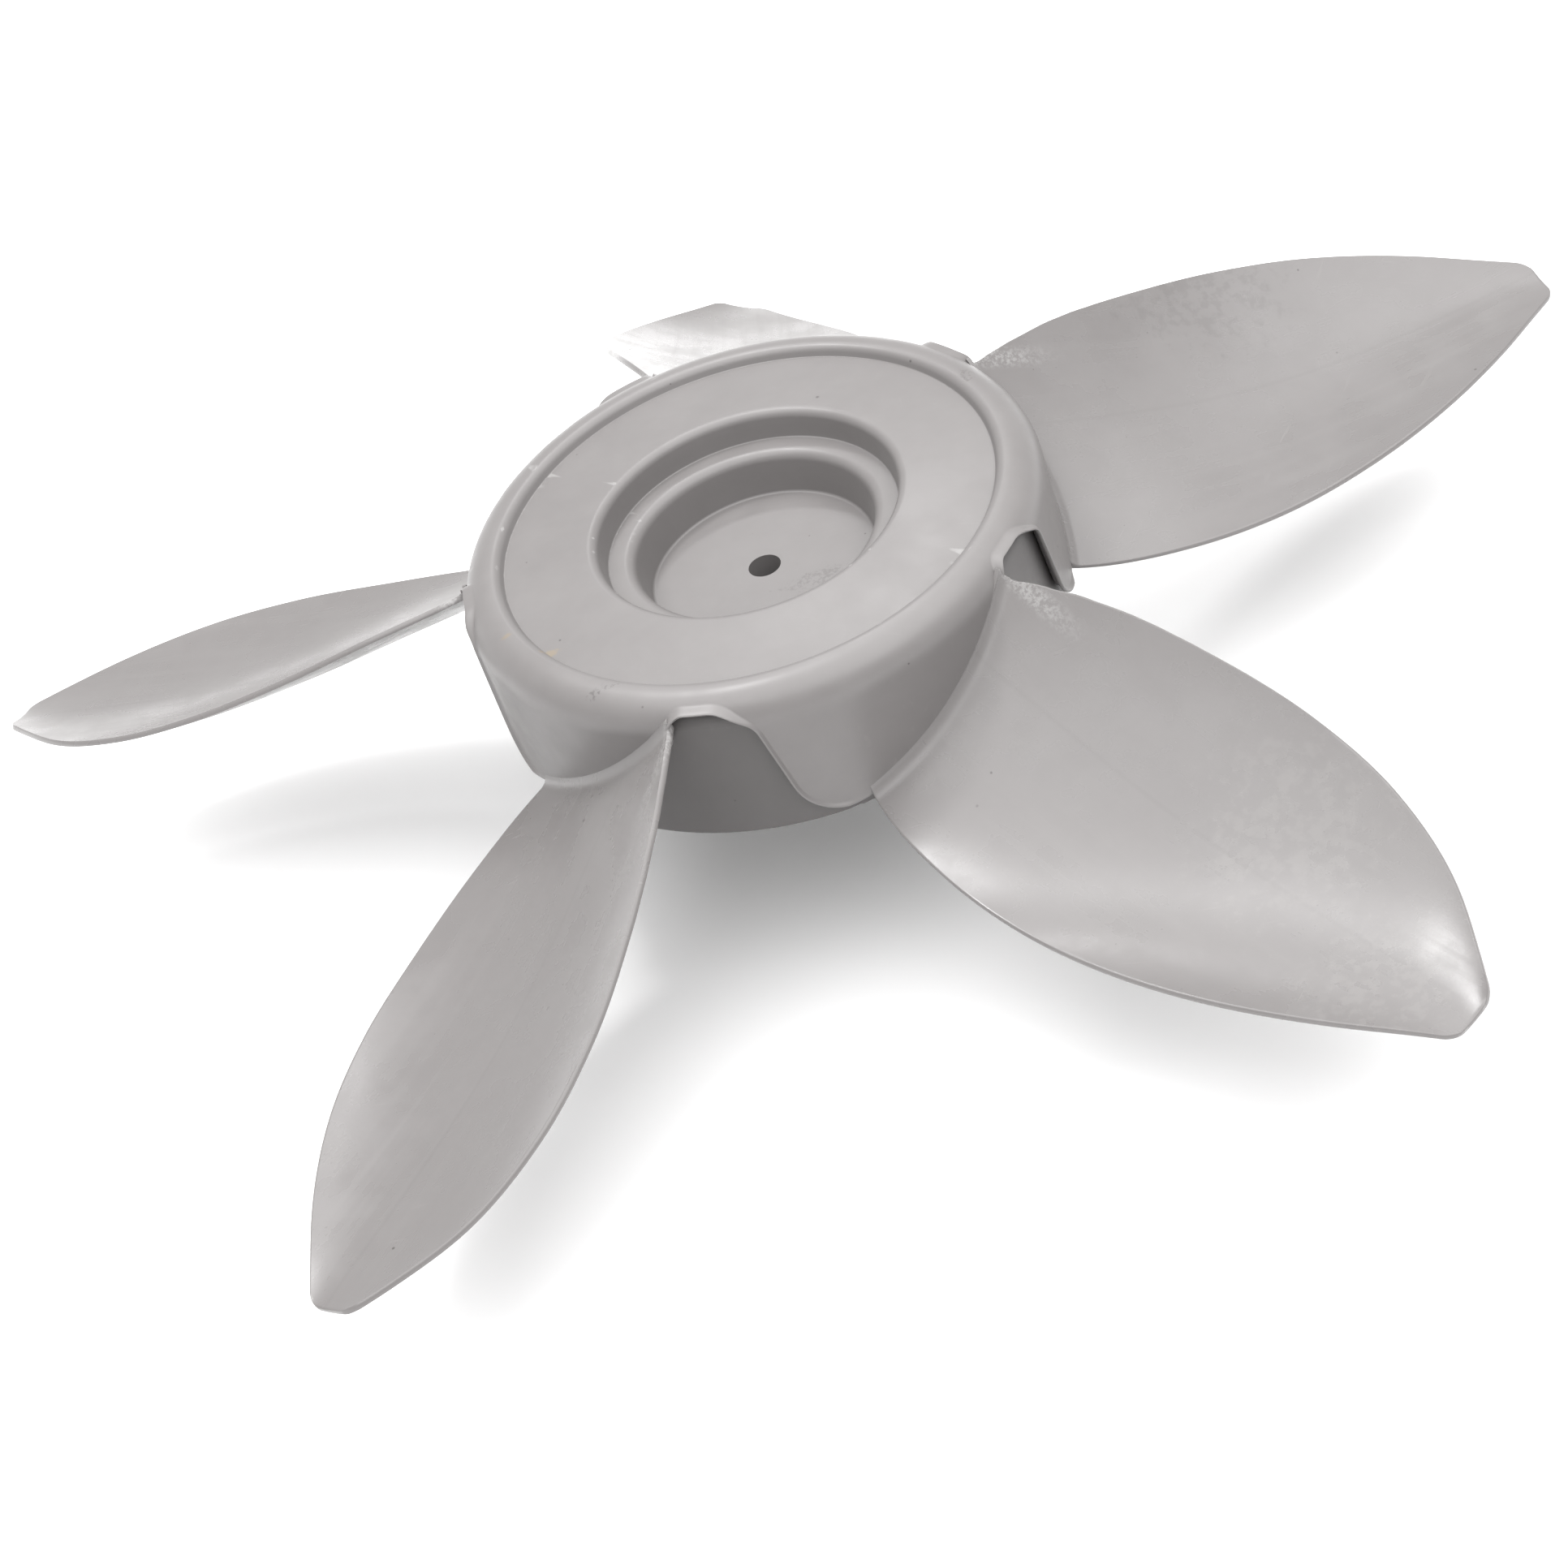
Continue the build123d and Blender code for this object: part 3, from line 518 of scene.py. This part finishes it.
# ---------------------------------------------------------------- effects shared by the materials
class Graph:
    """Short ways to add nodes to one tree."""

    def __init__(self, tree):
        self.tree = tree

    def add(self, kind, values=None, **settings):
        node = self.tree.nodes.new(kind)
        for key, value in settings.items():
            setattr(node, key, value)
        for key, value in (values or {}).items():
            self.give(node.inputs[key], value)
        return node

    def give(self, socket, value):
        if isinstance(value, bpy.types.NodeSocket):
            self.tree.links.new(value, socket)
        else:
            socket.default_value = value

    def math(self, operation, a, b=None, clamp=False):
        values = {0: a} if b is None else {0: a, 1: b}
        return self.add("ShaderNodeMath", values, operation=operation, use_clamp=clamp).outputs[0]

    def span(self, value, low, high, out_low=0.0, out_high=1.0):
        """Maps a value smoothly from one span to another."""
        values = {"Value": value, "From Min": low, "From Max": high, "To Min": out_low, "To Max": out_high}
        return self.add("ShaderNodeMapRange", values, interpolation_type="SMOOTHSTEP").outputs["Result"]

    def blend(self, factor, a, b):
        """Mixes two colours; the node's sockets for colours come after those for numbers."""
        node = self.add("ShaderNodeMix", data_type="RGBA")
        self.give(node.inputs[0], factor)
        self.give(node.inputs[6], a)
        self.give(node.inputs[7], b)
        return node.outputs[2]

    def noise(self, place, scale, detail=2.0, roughness=0.5):
        values = {"Vector": place, "Scale": scale, "Detail": detail, "Roughness": roughness}
        return self.add("ShaderNodeTexNoise", values).outputs[0]

    def vector(self, operation, a, b):
        return self.add("ShaderNodeVectorMath", {0: a, 1: b}, operation=operation).outputs[0]

    def radius(self, xyz):
        """Distance from the axle's line."""
        x, y = xyz.outputs["X"], xyz.outputs["Y"]
        squares = self.math("ADD", self.math("MULTIPLY", x, x), self.math("MULTIPLY", y, y))
        return self.math("SQRT", squares)

    def effect(self, tree, **values):
        """Places a shared effect, with its own values, and returns its outputs."""
        node = self.tree.nodes.new("ShaderNodeGroup")
        node.node_tree = tree
        for key, value in values.items():
            self.give(node.inputs[key.replace("_", " ").title()], value)
        return node.outputs


def shared_effect(name, inputs, outputs):
    """A node group with named sockets: each is a name, a kind and a value to start with."""
    tree = bpy.data.node_groups.new(name, "ShaderNodeTree")
    for label, kind, value in inputs:
        socket = tree.interface.new_socket(label, in_out="INPUT", socket_type=f"NodeSocket{kind}")
        socket.default_value = value
    for label in outputs:
        tree.interface.new_socket(label, in_out="OUTPUT", socket_type="NodeSocketFloat")
    graph = Graph(tree)
    return tree, graph, graph.add("NodeGroupInput").outputs, graph.add("NodeGroupOutput").inputs


def moulded_tone():
    """Broad and fine unevenness of the pigment."""
    tree, g, given, out = shared_effect(
        "moulded_tone", (("Place", "Vector", (0, 0, 0)), ("Breadth", "Float", 24.0)), ("Tone",))
    broad = g.noise(given["Place"], given["Breadth"], 3.0, 0.55)
    fine = g.noise(given["Place"], g.math("MULTIPLY", given["Breadth"], 9.0), 2.0, 0.6)
    g.give(out["Tone"], g.math("ADD", g.math("MULTIPLY", broad, 0.7), g.math("MULTIPLY", fine, 0.3)))
    return tree


def dark_specks():
    """Small specks of burnt pigment and grime, present in only some of the cells."""
    tree, g, given, out = shared_effect(
        "dark_specks",
        (("Place", "Vector", (0, 0, 0)), ("Cells", "Float", 90.0), ("Share", "Float", 0.1),
         ("Size", "Float", 0.1)),
        ("Specks",))
    cell = g.add("ShaderNodeTexVoronoi", {"Vector": given["Place"], "Scale": given["Cells"]})
    pick = g.add("ShaderNodeSeparateColor", {"Color": cell.outputs["Color"]})
    size = g.math("MULTIPLY", given["Size"], g.math("ADD", pick.outputs["Green"], 0.3))
    inside = g.math("SUBTRACT", 1.0, g.math("DIVIDE", cell.outputs["Distance"], size), clamp=True)
    chosen = g.math("LESS_THAN", pick.outputs["Red"], given["Share"])
    g.give(out["Specks"], g.math("MULTIPLY", g.span(inside, 0.0, 0.5), chosen))
    return tree


def hairline_scuffs():
    """Fine scratches in two directions, in broken patches."""
    tree, g, given, out = shared_effect(
        "hairline_scuffs",
        (("Place", "Vector", (0, 0, 0)), ("Fineness", "Float", 700.0), ("Turn", "Float", 0.6),
         ("Amount", "Float", 0.5)),
        ("Scuffs",))
    layers = []
    for extra_turn, shift in ((0.0, 0.0), (1.2, 3.7)):
        angle = g.math("ADD", given["Turn"], extra_turn)
        turned_by = g.add("ShaderNodeCombineXYZ", {"Z": angle}).outputs[0]
        turned_place = g.add("ShaderNodeVectorRotate", {"Vector": given["Place"], "Rotation": turned_by},
                             rotation_type="EULER_XYZ").outputs[0]
        stretched = g.vector("MULTIPLY", turned_place, (0.10, 1.0, 0.3))
        line = g.noise(g.vector("ADD", stretched, (shift, shift, shift)), given["Fineness"], 2.0, 0.5)
        patch = g.noise(g.vector("ADD", given["Place"], (shift, 0, 0)), 38.0, 2.0, 0.5)
        layers.append(g.math("MULTIPLY", g.span(line, 0.64, 0.74), g.span(patch, 0.54, 0.68)))
    both = g.math("MAXIMUM", *layers)
    g.give(out["Scuffs"], g.math("MULTIPLY", both, given["Amount"]))
    return tree


def satin_grain():
    """The fine skin that the mould leaves."""
    tree, g, given, out = shared_effect(
        "satin_grain", (("Place", "Vector", (0, 0, 0)), ("Fineness", "Float", 1500.0)), ("Height",))
    fine = g.noise(given["Place"], given["Fineness"], 3.0, 0.6)
    soft = g.noise(given["Place"], g.math("MULTIPLY", given["Fineness"], 0.08), 2.0, 0.5)
    g.give(out["Height"], g.math("ADD", g.math("MULTIPLY", fine, 0.4), g.math("MULTIPLY", soft, 0.6)))
    return tree


def rubbed_edges():
    """Edges that handling has rubbed paler, broken up along their length."""
    tree, g, given, out = shared_effect(
        "rubbed_edges",
        (("Place", "Vector", (0, 0, 0)), ("Start", "Float", 0.53), ("Full", "Float", 0.62)), ("Rub",))
    sharp = g.add("ShaderNodeNewGeometry").outputs["Pointiness"]
    ridge = g.span(sharp, given["Start"], given["Full"])
    broken = g.span(g.noise(given["Place"], 260.0, 3.0, 0.6), 0.35, 0.6, 0.35, 1.0)
    g.give(out["Rub"], g.math("MULTIPLY", ridge, broken))
    return tree


def settled_dust():
    """Dust on what faces up."""
    tree, g, given, out = shared_effect(
        "settled_dust", (("Place", "Vector", (0, 0, 0)), ("Amount", "Float", 0.3)), ("Dust",))
    normal = g.add("ShaderNodeNewGeometry")
    up = g.add("ShaderNodeSeparateXYZ", {"Vector": normal.outputs["Normal"]}).outputs["Z"]
    cloud = g.span(g.noise(given["Place"], 60.0, 5.0, 0.7), 0.42, 0.7)
    settled = g.math("MULTIPLY", cloud, g.span(up, 0.4, 0.95))
    g.give(out["Dust"], g.math("MULTIPLY", settled, given["Amount"]))
    return tree


def local_mark():
    """One stain, scuff, pale mark or painted highlight at its own place, with a ragged border."""
    tree, g, given, out = shared_effect(
        "local_mark",
        (("Place", "Vector", (0, 0, 0)), ("Centre", "Vector", (0, 0, 0)),
         ("Reach", "Vector", (0.01, 0.01, 0.01)), ("Ragged", "Float", 0.6), ("Break", "Float", 400.0)),
        ("Mark",))
    away = g.vector("DIVIDE", g.vector("SUBTRACT", given["Place"], given["Centre"]), given["Reach"])
    distance = g.add("ShaderNodeVectorMath", {0: away}, operation="LENGTH").outputs["Value"]
    rough = g.math("MULTIPLY", g.math("SUBTRACT", g.noise(given["Place"], given["Break"], 4.0, 0.65), 0.5),
                   g.math("MULTIPLY", given["Ragged"], 2.4))
    g.give(out["Mark"], g.span(g.math("ADD", distance, rough), 1.0, 0.45))
    return tree


def own_blade_place():
    """Folds the five blades on to one, so that a place counts from each blade's own line."""
    tree, g, given, out = shared_effect(
        "own_blade_place", (("Place", "Vector", (0, 0, 0)),), ("Out", "Across"))
    xyz = g.add("ShaderNodeSeparateXYZ", {"Vector": given["Place"]})
    angle = g.math("SUBTRACT", g.math("ARCTAN2", xyz.outputs["Y"], xyz.outputs["X"]), BLADE_LINE)
    turns = g.math("ROUND", g.math("DIVIDE", angle, SECTOR))
    own = g.math("SUBTRACT", angle, g.math("MULTIPLY", turns, SECTOR))
    radius = g.radius(xyz)
    g.give(out["Out"], g.math("MULTIPLY", radius, g.math("COSINE", own)))
    g.give(out["Across"], g.math("MULTIPLY", radius, g.math("SINE", own)))
    return tree


def turning_marks():
    """Rings round the axle, as a lathe or a grinding wheel leaves them."""
    tree, g, given, out = shared_effect(
        "turning_marks", (("Place", "Vector", (0, 0, 0)), ("Fineness", "Float", 4000.0)),
        ("Height", "Tone"))
    xyz = g.add("ShaderNodeSeparateXYZ", {"Vector": given["Place"]})
    radius = g.radius(xyz)
    along = g.math("MULTIPLY", xyz.outputs["Z"], 0.9)
    line = g.add("ShaderNodeCombineXYZ", {"X": radius, "Y": along}).outputs[0]
    g.give(out["Height"], g.noise(line, given["Fineness"], 3.0, 0.6))
    g.give(out["Tone"], g.noise(line, g.math("MULTIPLY", given["Fineness"], 0.2), 2.0, 0.5))
    return tree


TONE, SPECKS, SCUFFS = moulded_tone(), dark_specks(), hairline_scuffs()
GRAIN, RUB, DUST, MARK = satin_grain(), rubbed_edges(), settled_dust(), local_mark()
OWN_BLADE, TURNED = own_blade_place(), turning_marks()

# ---------------------------------------------------------------- materials
# pale colour of dust and scuffs, also used for the painted highlights near the first blade's tip
PALE_DUST_AND_HIGHLIGHT = (0.26, 0.25, 0.24, 1)
GRIME = (0.045, 0.04, 0.038, 1)
YELLOW_STAIN = (0.21, 0.16, 0.09, 1)
STRESS_WHITE = (0.30, 0.295, 0.29, 1)
# places and reaches in the materials are in metres
ROOT_CORNER = (0.079, 0.0205)           # out and across, where a blade's upper edge leaves the skirt
WELD_ACROSS = 0.004
WELL_EDGE = (0.0315, 0.0345)            # radii between which the rubbing starts, outside the well's floor


def begin(name):
    """A new material, its nodes, its shader and the place on the piece."""
    material = bpy.data.materials.new(name)
    material.use_nodes = True
    graph = Graph(material.node_tree)
    shader = material.node_tree.nodes["Principled BSDF"]
    place = graph.add("ShaderNodeTexCoord").outputs["Object"]
    return material, graph, shader, place


def relief(g, shader, height, strength, distance):
    bump = g.add("ShaderNodeBump", {"Height": height, "Strength": strength, "Distance": distance})
    g.give(shader.inputs["Normal"], bump.outputs["Normal"])


def satin_plastic(name, dark, light, breadth, scuff_turn, scuff_amount, dust, gloss, marks=(),
                  blades=False, rubbed=0.5):
    """Moulded satin plastic with uneven pigment, specks, scuffs, rubbed edges and dust."""
    material, g, shader, place = begin(name)
    tone = g.effect(TONE, place=place, breadth=breadth)["Tone"]
    colour = g.blend(g.span(tone, 0.3, 0.7), (*dark, 1), (*light, 1))
    scuffs = g.effect(SCUFFS, place=place, turn=scuff_turn, amount=scuff_amount)["Scuffs"]
    dusty = g.effect(DUST, place=place, amount=dust)["Dust"]
    rub = g.effect(RUB, place=place)["Rub"]
    specks = g.math("MAXIMUM",
                    g.effect(SPECKS, place=place, cells=110.0, share=0.06, size=0.07)["Specks"],
                    g.effect(SPECKS, place=place, cells=300.0, share=0.03, size=0.13)["Specks"])
    colour = g.blend(g.math("MULTIPLY", dusty, 0.5), colour, PALE_DUST_AND_HIGHLIGHT)
    colour = g.blend(g.math("MULTIPLY", scuffs, 0.35), colour, PALE_DUST_AND_HIGHLIGHT)
    # the well's floor isn't touched in use, so its edges keep their colour
    flat_place = g.vector("MULTIPLY", place, (1, 1, 0))
    radius = g.add("ShaderNodeVectorMath", {0: flat_place}, operation="LENGTH").outputs["Value"]
    worn = g.math("MULTIPLY", g.math("MULTIPLY", rub, rubbed), g.span(radius, *WELL_EDGE))
    colour = g.blend(worn, colour, STRESS_WHITE)
    rough_extra = g.math("ADD", g.math("MULTIPLY", scuffs, 0.22), g.math("MULTIPLY", dusty, 0.25))
    if blades:
        own = g.effect(OWN_BLADE, place=place)
        # stress marks where the upper edge leaves the skirt
        from_root = g.math("ABSOLUTE", g.math("SUBTRACT", own["Out"], ROOT_CORNER[0]))
        from_edge = g.math("ABSOLUTE", g.math("SUBTRACT", own["Across"], ROOT_CORNER[1]))
        near = g.math("MULTIPLY", g.span(from_root, 0.022, 0.0), g.span(from_edge, 0.0032, 0.0006))
        torn = g.span(g.noise(place, 900.0, 4.0, 0.7), 0.42, 0.62)
        colour = g.blend(g.math("MULTIPLY", g.math("MULTIPLY", near, torn), 0.55), colour, STRESS_WHITE)
        # faint weld line down the middle of each blade
        from_weld = g.math("ABSOLUTE", g.math("SUBTRACT", own["Across"], WELD_ACROSS))
        weld = g.span(from_weld, 0.0009, 0.0)
        colour = g.blend(g.math("MULTIPLY", weld, 0.06), colour, GRIME)
        # drag marks run out along the blade
        along, side = g.math("MULTIPLY", own["Out"], 6.0), g.math("MULTIPLY", own["Across"], 260.0)
        drag = g.add("ShaderNodeCombineXYZ", {"X": along, "Y": side}).outputs[0]
        streak = g.span(g.noise(drag, 1.0, 3.0, 0.6), 0.45, 0.75)
        rough_extra = g.math("ADD", rough_extra, g.math("MULTIPLY", streak, 0.05))
        colour = g.blend(g.math("MULTIPLY", streak, 0.03), colour, PALE_DUST_AND_HIGHLIGHT)
    # local stains, scuffs and grime, and on the blades painted highlights
    for tint, amount, centre, reach, ragged, broken in marks:
        mark = g.effect(MARK, place=place, centre=centre, reach=reach, ragged=ragged)
        amount_here = g.math("MULTIPLY", mark["Mark"], amount)
        if broken:
            gaps = g.span(g.noise(place, broken, 3.0, 0.6), 0.45, 0.6)
            amount_here = g.math("MULTIPLY", amount_here, gaps)
        colour = g.blend(amount_here, colour, tint)
        rough_extra = g.math("ADD", rough_extra, g.math("MULTIPLY", amount_here, 0.15))
    colour = g.blend(g.math("MULTIPLY", specks, 0.75), colour, GRIME)
    g.give(shader.inputs["Base Color"], colour)
    uneven = g.span(g.noise(place, 55.0, 4.0, 0.6), 0.3, 0.7, gloss - 0.05, gloss + 0.06)
    g.give(shader.inputs["Roughness"], g.math("ADD", uneven, rough_extra))
    grain = g.effect(GRAIN, place=place)["Height"]
    height = g.math("SUBTRACT", grain, g.math("MULTIPLY", scuffs, 0.5))
    relief(g, shader, height, 0.35, 0.00006)
    return material


def machined_metal(name, dark, light, fineness, roughness, tarnish=None):
    """Turned or ground metal with fine rings, uneven tone and a little tarnish."""
    material, g, shader, place = begin(name)
    rings = g.effect(TURNED, place=place, fineness=fineness)
    tone = g.effect(TONE, place=place, breadth=160.0)["Tone"]
    both = g.math("ADD", g.math("MULTIPLY", rings["Tone"], 0.6), g.math("MULTIPLY", tone, 0.4))
    colour = g.blend(g.span(both, 0.35, 0.65), (*dark, 1), (*light, 1))
    rub = g.effect(RUB, place=place)["Rub"]
    colour = g.blend(g.math("MULTIPLY", rub, 0.2), colour, (*[min(1.0, c * 1.25) for c in light], 1))
    if tarnish is not None:
        patches = g.span(g.noise(place, 420.0, 4.0, 0.65), 0.5, 0.68)
        colour = g.blend(g.math("MULTIPLY", patches, 0.6), colour, (*tarnish, 1))
    dusty = g.effect(DUST, place=place, amount=0.25)["Dust"]
    colour = g.blend(g.math("MULTIPLY", dusty, 0.4), colour, PALE_DUST_AND_HIGHLIGHT)
    g.give(shader.inputs["Base Color"], colour)
    shader.inputs["Metallic"].default_value = 1.0
    base = g.span(rings["Tone"], 0.3, 0.7, roughness - 0.05, roughness + 0.07)
    g.give(shader.inputs["Roughness"], g.math("ADD", base, g.math("MULTIPLY", dusty, 0.3)))
    relief(g, shader, rings["Height"], 0.25, 0.00002)
    return material


# local marks and painted highlights: colour, strength, centre, reach, raggedness and scale of the gaps (0
# for none)
SHELL_MARKS = (
    (YELLOW_STAIN, 0.5, (-0.0572, -0.0268, 0.0428), (0.0030, 0.0016, 0.004), 0.7, 0),
    (YELLOW_STAIN, 0.4, (-0.0665, -0.0170, 0.0436), (0.0018, 0.0010, 0.004), 0.7, 0),
    (GRIME, 0.55, (-0.0480, -0.0500, 0.0430), (0.0050, 0.0016, 0.004), 0.9, 900.0),
    (GRIME, 0.45, (0.0650, 0.0215, 0.0440), (0.0020, 0.0040, 0.004), 0.9, 900.0),
    (GRIME, 0.30, (0.0100, -0.0120, 0.0250), (0.0100, 0.0040, 0.004), 0.9, 1200.0),
)
BLADE_MARKS_AND_HIGHLIGHTS = (
    # painted highlights: the next two pale patches near the first blade's tip stand for the lamps'
    # reflection
    (PALE_DUST_AND_HIGHLIGHT, 0.10, (0.0930, -0.1350, 0.0100), (0.0300, 0.0300, 0.040), 0.8, 240.0),
    (PALE_DUST_AND_HIGHLIGHT, 0.12, (0.1000, -0.1800, -0.0050), (0.0260, 0.0200, 0.030), 0.8, 420.0),
    (GRIME, 0.15, (0.1330, 0.0600, 0.0200), (0.0300, 0.0200, 0.040), 0.9, 320.0),
)
shell_plastic = satin_plastic(
    "warm_grey_shell", (0.142, 0.134, 0.132), (0.153, 0.145, 0.143), breadth=20.0,
    scuff_turn=0.5, scuff_amount=0.22, dust=0.08, gloss=0.38, marks=SHELL_MARKS)
blade_plastic = satin_plastic(
    "warm_grey_blade", (0.141, 0.133, 0.131), (0.151, 0.143, 0.141), breadth=14.0,
    scuff_turn=-0.9, scuff_amount=0.25, dust=0.06, gloss=0.27, marks=BLADE_MARKS_AND_HIGHLIGHTS, blades=True)
# painted shade: the drum is the same warm grey plastic as the shell, with its colour darkened to stand for
# the shade it sits in behind the skirt
drum_painted_shade_plastic = satin_plastic(
    "grey_drum_painted_shade", (0.074, 0.069, 0.068), (0.079, 0.074, 0.073), breadth=30.0,
    scuff_turn=0.1, scuff_amount=0.1, dust=0.0, gloss=0.5, rubbed=0.0)
# part of a node's name: finish, darker and lighter tone, fineness of the turning, roughness, tarnish
METALS = {
    "outer_ring": ("ground_bearing_steel", (0.42, 0.42, 0.43), (0.56, 0.56, 0.57), 9000.0, 0.22),
    "balls": ("polished_ball_steel", (0.58, 0.58, 0.60), (0.66, 0.66, 0.68), 3000.0, 0.10),
    "cage": ("pressed_cage_steel", (0.36, 0.35, 0.33), (0.47, 0.46, 0.43), 2500.0, 0.38,
             (0.24, 0.20, 0.15)),
    "shields": ("rolled_shield_steel", (0.40, 0.40, 0.40), (0.52, 0.52, 0.52), 5000.0, 0.30),
    "spacer_sleeve": ("turned_aluminium", (0.60, 0.61, 0.62), (0.72, 0.73, 0.74), 3500.0, 0.32),
    "retaining_ring": ("blackened_spring_steel", (0.05, 0.05, 0.055), (0.10, 0.10, 0.11), 3000.0, 0.42,
                       (0.14, 0.09, 0.06)),
    "drum_": ("zinc_plated_steel", (0.44, 0.46, 0.47), (0.58, 0.59, 0.57), 1800.0, 0.34,
              (0.55, 0.52, 0.42)),
}
FINISHES = {part: machined_metal(*values) for part, values in METALS.items()}
FINISHES["inner_ring"] = FINISHES["outer_ring"]

hub_moulding(shell_plastic)
for number in range(1, BLADE_COUNT + 1):
    blade_moulding(number, blade_plastic)
for name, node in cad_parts.items():
    # parts that are not metal take the drum's plastic, whose darkened colour is painted shade
    finish = next((metal for part, metal in FINISHES.items() if part in name), drum_painted_shade_plastic)
    node.data.materials.clear()
    node.data.materials.append(finish)

# ---------------------------------------------------------------- floor, light and camera
scene = bpy.context.scene
scene.view_settings.view_transform = "Standard"
scene.view_settings.look = "None"

FLOOR_GAP = 0.0005                      # the floor lies just below the drooped blade's tip
bpy.ops.mesh.primitive_plane_add(size=12, location=(0, 1.5, cad_low[2] - FLOOR_GAP))
floor = bpy.context.object
floor.name = "studio_floor"
pale, g, shader, place = begin("pale_floor")
paper = g.blend(g.noise(place, 3.0), (0.87, 0.87, 0.87, 1), (0.89, 0.89, 0.89, 1))
g.give(shader.inputs["Base Color"], paper)
shader.inputs["Roughness"].default_value = 0.9
shader.inputs["Specular IOR Level"].default_value = 0.1
floor.data.materials.append(pale)

world = bpy.data.worlds.new("studio_air")
scene.world = world
world.use_nodes = True
world.node_tree.nodes["Background"].inputs["Color"].default_value = (1, 1, 1, 1)
world.node_tree.nodes["Background"].inputs["Strength"].default_value = 1.0


def aim(obj, azimuth, elevation):
    """Turns a lamp so that its light comes from this direction, in degrees, and returns the direction."""
    a, e = math.radians(azimuth), math.radians(elevation)
    away = Vector((math.cos(a) * math.cos(e), math.sin(a) * math.cos(e), math.sin(e)))
    obj.rotation_euler = away.to_track_quat("Z", "Y").to_euler()
    return away


def sun(name, azimuth, elevation, strength, spread):
    data = bpy.data.lights.new(name, "SUN")
    data.energy = strength
    data.angle = math.radians(spread)
    lamp = bpy.data.objects.new(name, data)
    scene.collection.objects.link(lamp)
    aim(lamp, azimuth, elevation)


def softbox(name, azimuth, elevation, distance, width, depth, power):
    data = bpy.data.lights.new(name, "AREA")
    data.shape = "RECTANGLE"
    data.size, data.size_y = width, depth
    data.energy = power
    lamp = bpy.data.objects.new(name, data)
    scene.collection.objects.link(lamp)
    lamp.location = aim(lamp, azimuth, elevation) * distance


sun("overhead_sky", -40, 81, 4.3, 85)
softbox("back_strip", 113, 66, 1.6, 0.34, 0.2, 7)
softbox("far_strip", 80, 46, 1.8, 0.40, 0.12, 4)

CAMERA_DISTANCE = 15.2104 * CREASE_R * MM
# shares of the frame's width: focal length, and the crease's middle from the frame's middle
FOCAL = 2.469255
HUB_ACROSS, HUB_UP = -0.0235455, 0.1716667
elevation = math.radians(40.145)
roll = math.radians(-19.791)
forward = Vector((0, math.cos(elevation), -math.sin(elevation)))
level = Vector((1, 0, 0))
up = level.cross(forward)
right = level * math.cos(roll) + up * math.sin(roll)
upward = up * math.cos(roll) - level * math.sin(roll)
hub_middle = Vector((0, 0, CREASE_Z * MM))
place = (hub_middle - forward * CAMERA_DISTANCE
         - right * (HUB_ACROSS / FOCAL * CAMERA_DISTANCE)
         - upward * (HUB_UP / FOCAL * CAMERA_DISTANCE))
lens = bpy.data.cameras.new("studio_camera")
lens.sensor_width = 36
lens.lens = FOCAL * lens.sensor_width
lens.clip_end = 50
camera = bpy.data.objects.new("studio_camera", lens)
scene.collection.objects.link(camera)
axes = Matrix((right, upward, -forward)).transposed().to_4x4()
camera.matrix_world = Matrix.Translation(place) @ axes
scene.camera = camera
